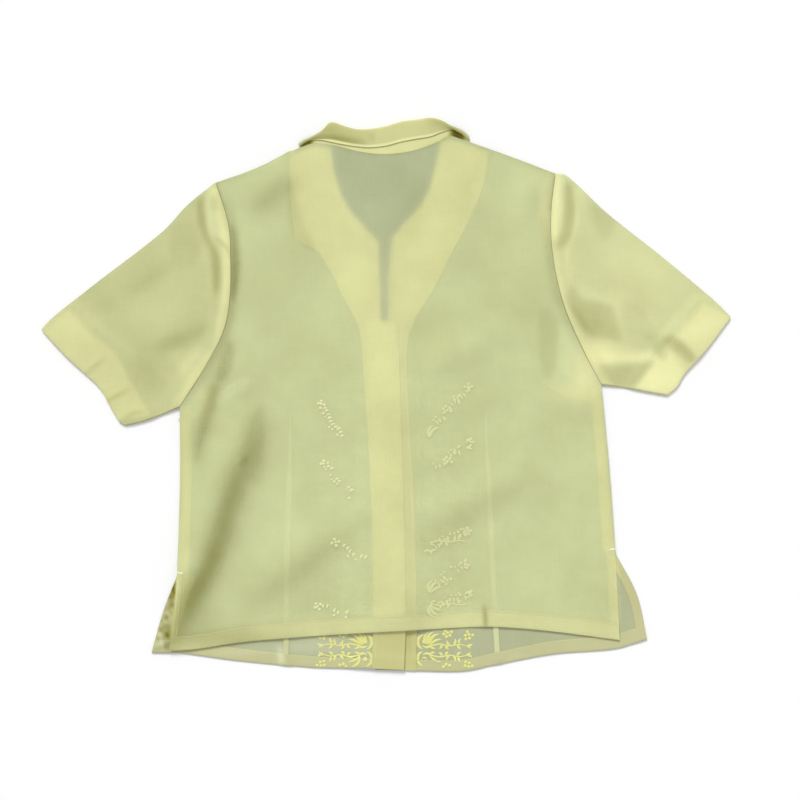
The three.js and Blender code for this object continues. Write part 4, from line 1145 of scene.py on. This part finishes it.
def sleeve(side, outward):
    """A sleeve with its turned-up hem, laid flat beside the body. Outward is -1 or 1 along X."""
    edges = SLEEVE_EDGES[side]

    def armhole(u):
        body_v = 1 + (12 / ROWS - 1) * np.asarray(u, float)
        return side_edges[side]["back"](body_v) + (outward * SEAM_GAP, 0)

    plan = patch(edge(edges["fold"]), edge(edges["underarm"]), armhole, edge(edges["cuff"]))
    cells = cells_of(plan(np.linspace(0, 1, 60), shares(60)))
    turn_up = between(edge(edges["cuff"]), edge(edges["turn_up"]))

    def cuff_plan(u, v):
        return turn_up(v, u).transpose(1, 0, 2)

    cuff_cells = cells_of(cuff_plan(np.linspace(0.01, 0.99, 60), np.linspace(0.01, 1, 20)))
    rise, shade = crease_fields(SLEEVE_CREASES[side])
    rise += 0.5 * drift(110, 5) + 0.5
    shade += patch_field(PATCHES[side]) + facet_field(FACETS[side])
    shade += 0.05 * drift(80, 6) + SLEEVE_DEPTH[side]
    heap.top = under_back.copy()
    lower = heap.lay(cells, 1)
    cuff_lower = heap.lay(cuff_cells, 1)
    # The armhole's seam allowance is pressed into the sleeve, and is deepest under the arm.
    down = np.linspace(0.0, 1.0, 70)
    depth = np.interp(down, *ALLOWANCE_DEPTH[side])
    full = plan(down, np.linspace(0, 1, 201))
    at = np.linspace(0, 1, 6)[:, None] * depth[None] * 200
    below = np.minimum(at.astype(int), 199)
    part = (at - below)[..., None]
    column = np.arange(70)[None]
    allowance = full[below, column] * (1 - part) + full[below + 1, column] * part
    laid_sheet(f"armhole_allowance_{side}", allowance, 1, HEM_CLOTH, 2 * CLOTH, shade)
    cuff_upper = heap.lay(cuff_cells, 1, folds=rise)
    upper = heap.lay(cells, 2, folds=rise)
    upper = np.maximum(upper, np.where(cuff_cells, cuff_upper + CLOTH + AIR, 0))
    # The sleeve's upper layer rises to the back's height where they are sewn together.
    upper = np.maximum(upper, seam_level)
    allowance_share, cuff_share = softened(cells_of(allowance), 1), softened(cuff_cells, 1)
    # Painted light: the outer layer is painted lighter and yellower over its turned cuff, over its armhole
    # allowance, and at the listed patches of painted light.
    shade -= 0.17 * cuff_share + 0.06 * allowance_share
    painted_glow = np.clip(0.14 * cuff_share + 0.14 * allowance_share + patch_field(PAINTED_GLOWS[side]), 0, 1)
    outer, fold_shade = ring_rows(plan, shares(140), lower, upper)
    inner, fold_shade_in = ring_rows(cuff_plan, np.linspace(0.02, 1, 18), cuff_lower, cuff_upper, 0.008)
    fold_shade = np.concatenate([fold_shade, fold_shade[-1:], fold_shade_in]).ravel()
    rim_out = outer[-1] - outer[-2]
    rim_out /= np.linalg.norm(rim_out, axis=1)[:, None]
    rim = (outer[-1] + inner[0]) / 2 + rim_out * AIR
    tube = np.concatenate([outer, rim[None], inner])
    rows, columns = tube.shape[:2]
    flat = tube.reshape(-1, 3)
    in_hem = np.repeat((np.arange(rows) >= len(outer)).astype(float), columns)
    # Painted shade along both folds of the flattened sleeve.
    values = {"shade": sample(shade, flat) + 1.1 * fold_shade, "bare": np.zeros(len(flat)),
              "turned": np.maximum(in_hem, sample(painted_glow, flat))}
    thicken(mesh_piece(f"sleeve_{side}", flat, grid_faces(rows, columns, closed=True), SLEEVE_CLOTH, values),
            CLOTH)
    hem_row = cuff_plan(np.linspace(0.02, 0.98, 90), np.array([0.96]))
    sew(f"stitches_sleeve_{side}", hem_row, upper)
    seam_line = armhole(np.linspace(0.01, 0.99, 90)) - (outward * SEAM_GAP / 2, 0)
    thread_piece(f"seam_{side}", [(seam_line, np.interp(np.linspace(0, 1, 90), *SEAM_WIDTH[side]), 0)],
                 softened(widened(back_level * back_cells, 1), 1), SEAM_THREAD, 0.3)


sleeve("left", -1)
sleeve("right", 1)


# ---- Collar ----
COLLAR_GAP = 3.2      # from the stand up to the fall, at the roll
EDGE_GAP = 1.2        # the same at the fall's free edge


def collar():
    """The stand and the fall in one strip, rolled over at the back neck."""
    last = len(COLLAR_SECTIONS) - 1
    lines = [edge([(i / last, *row[key]) for i, row in enumerate(COLLAR_SECTIONS)]) for key in range(3)]
    t = np.linspace(0, 1, 160)
    seam, roll, free = (line(t) for line in lines)
    rest = sample(softened(heap.top, 4), seam) + 2 * AIR
    ends = np.clip(np.minimum(t, 1 - t) * last / 2.5, 0, 1)
    base = AIR + (rest - AIR) * ends**2 * (3 - 2 * ends) + DOUBLED / 2
    # The stand is sewn over the back's neck edge.
    seam[:, 1] = np.minimum(seam[:, 1], np.interp(seam[:, 0], NECK[:, 0], NECK[:, 1])) - 1.2
    depth = np.linalg.norm((seam + free) / 2 - roll, axis=1)
    radius = np.minimum(COLLAR_GAP, depth) / 2
    back = ((seam + free) / 2 - roll) / depth[:, None]
    points = []
    for s in np.linspace(0, 1, 10):
        spot = seam + (roll + back * radius[:, None] - seam) * s
        points.append(np.column_stack([spot, base]))
    for turn in np.linspace(0, np.pi, 11)[1:-1]:
        spot = roll + back * (radius * (1 - np.sin(turn)))[:, None]
        points.append(np.column_stack([spot, base + COLLAR_GAP / 2 * (1 - np.cos(turn))]))
    for s in np.linspace(0, 1, 12):
        start = roll + back * radius[:, None]
        spot = start + (free - start) * s
        points.append(np.column_stack([spot, base + COLLAR_GAP - (COLLAR_GAP - EDGE_GAP) * s**1.5]))
    grid = np.array(points)
    rows, columns = grid.shape[:2]
    flat = grid.reshape(-1, 3)
    fall = np.repeat(np.linspace(0, 1, rows) > 0.4, columns)
    rim = np.repeat(np.arange(rows) >= rows - 2, columns)
    shade = sample(crease_fields(COLLAR_CREASES)[1] + patch_field(PATCHES["collar"]), flat)
    # The stand is painted pale inside the neck, and painted dark with shade towards both ends of the collar.
    x = flat[:, 0]
    inside = -0.22 + 2.3 * np.exp(-((x - 86) / 10) ** 4) + 1.9 * np.exp(-((x + 95) / 8) ** 4)
    rolled = np.repeat(np.exp(-((np.arange(rows) - 14) / 3.0) ** 2), columns)
    end = np.tile(1 - np.clip(np.minimum(t, 1 - t) * 4.5, 0, 1), rows)
    # Painted light on the fall's free edge, and painted shade over the roll, deeper towards both ends.
    shade = np.where(fall, np.where(rim, -0.75, shade), inside) + (0.7 + 1.8 * end) * rolled
    nothing = np.zeros(rows * columns)
    piece = mesh_piece("collar", flat, grid_faces(rows, columns), COLLAR_CLOTH,
                       {"shade": shade, "bare": nothing, "turned": nothing})
    thicken(piece, DOUBLED)


collar()

# ---- Everything rides on the one body, and stands for its solid ----
for name, piece in pieces.items():
    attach(piece, "root")
for name in ("back", "front_left", "front_right", "facing_left", "facing_right", "sleeve_left",
             "sleeve_right", "collar"):
    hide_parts(name)

BUTTON_PLASTIC = pearly_plastic()
for name in BUTTON_NAMES:
    for slot in bpy.data.objects[name].material_slots:
        slot.material = BUTTON_PLASTIC

# ---- Floor, light and camera ----
scene = bpy.context.scene
floor_material = bpy.data.materials.new("floor_matt_white")
floor_material.use_nodes = True
floor_shader = floor_material.node_tree.nodes["Principled BSDF"]
floor_shader.inputs["Base Color"].default_value = (0.9, 0.9, 0.9, 1)
floor_shader.inputs["Roughness"].default_value = 0.9
FLOOR_HALF, FLOOR_Z = 3000, -0.2
corners = [(x * FLOOR_HALF, y * FLOOR_HALF, FLOOR_Z) for x, y in ((-1, -1), (1, -1), (1, 1), (-1, 1))]
floor = mesh_piece("floor", corners, [(0, 1, 2, 3)], floor_material)
floor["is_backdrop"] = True

world = bpy.data.worlds.new("soft_studio")
world.use_nodes = True
world.node_tree.nodes["Background"].inputs["Color"].default_value = (1, 1, 1, 1)
world.node_tree.nodes["Background"].inputs["Strength"].default_value = 0.62
scene.world = world

key = bpy.data.lights.new("key_upper_left", "SUN")
key.energy = 2.63
key.angle = math.radians(22)
lamp = bpy.data.objects.new("key_upper_left", key)
lamp.rotation_euler = Vector((0.35, -1.35, -1.0)).to_track_quat("-Z", "Y").to_euler()
scene.collection.objects.link(lamp)

PICTURE_WIDTH = 0.96
LENS, SENSOR = 85, 36
camera_data = bpy.data.cameras.new("straight_down")
camera_data.lens = LENS
camera_data.sensor_width = SENSOR
camera = bpy.data.objects.new("straight_down", camera_data)
camera.location = (16.8 * MM, (-6.6 + LIFT_Y) * MM, PICTURE_WIDTH * LENS / SENSOR)
scene.collection.objects.link(camera)
scene.camera = camera
scene.view_settings.view_transform = "Standard"
scene.cycles.transparent_max_bounces = 48

low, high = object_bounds()
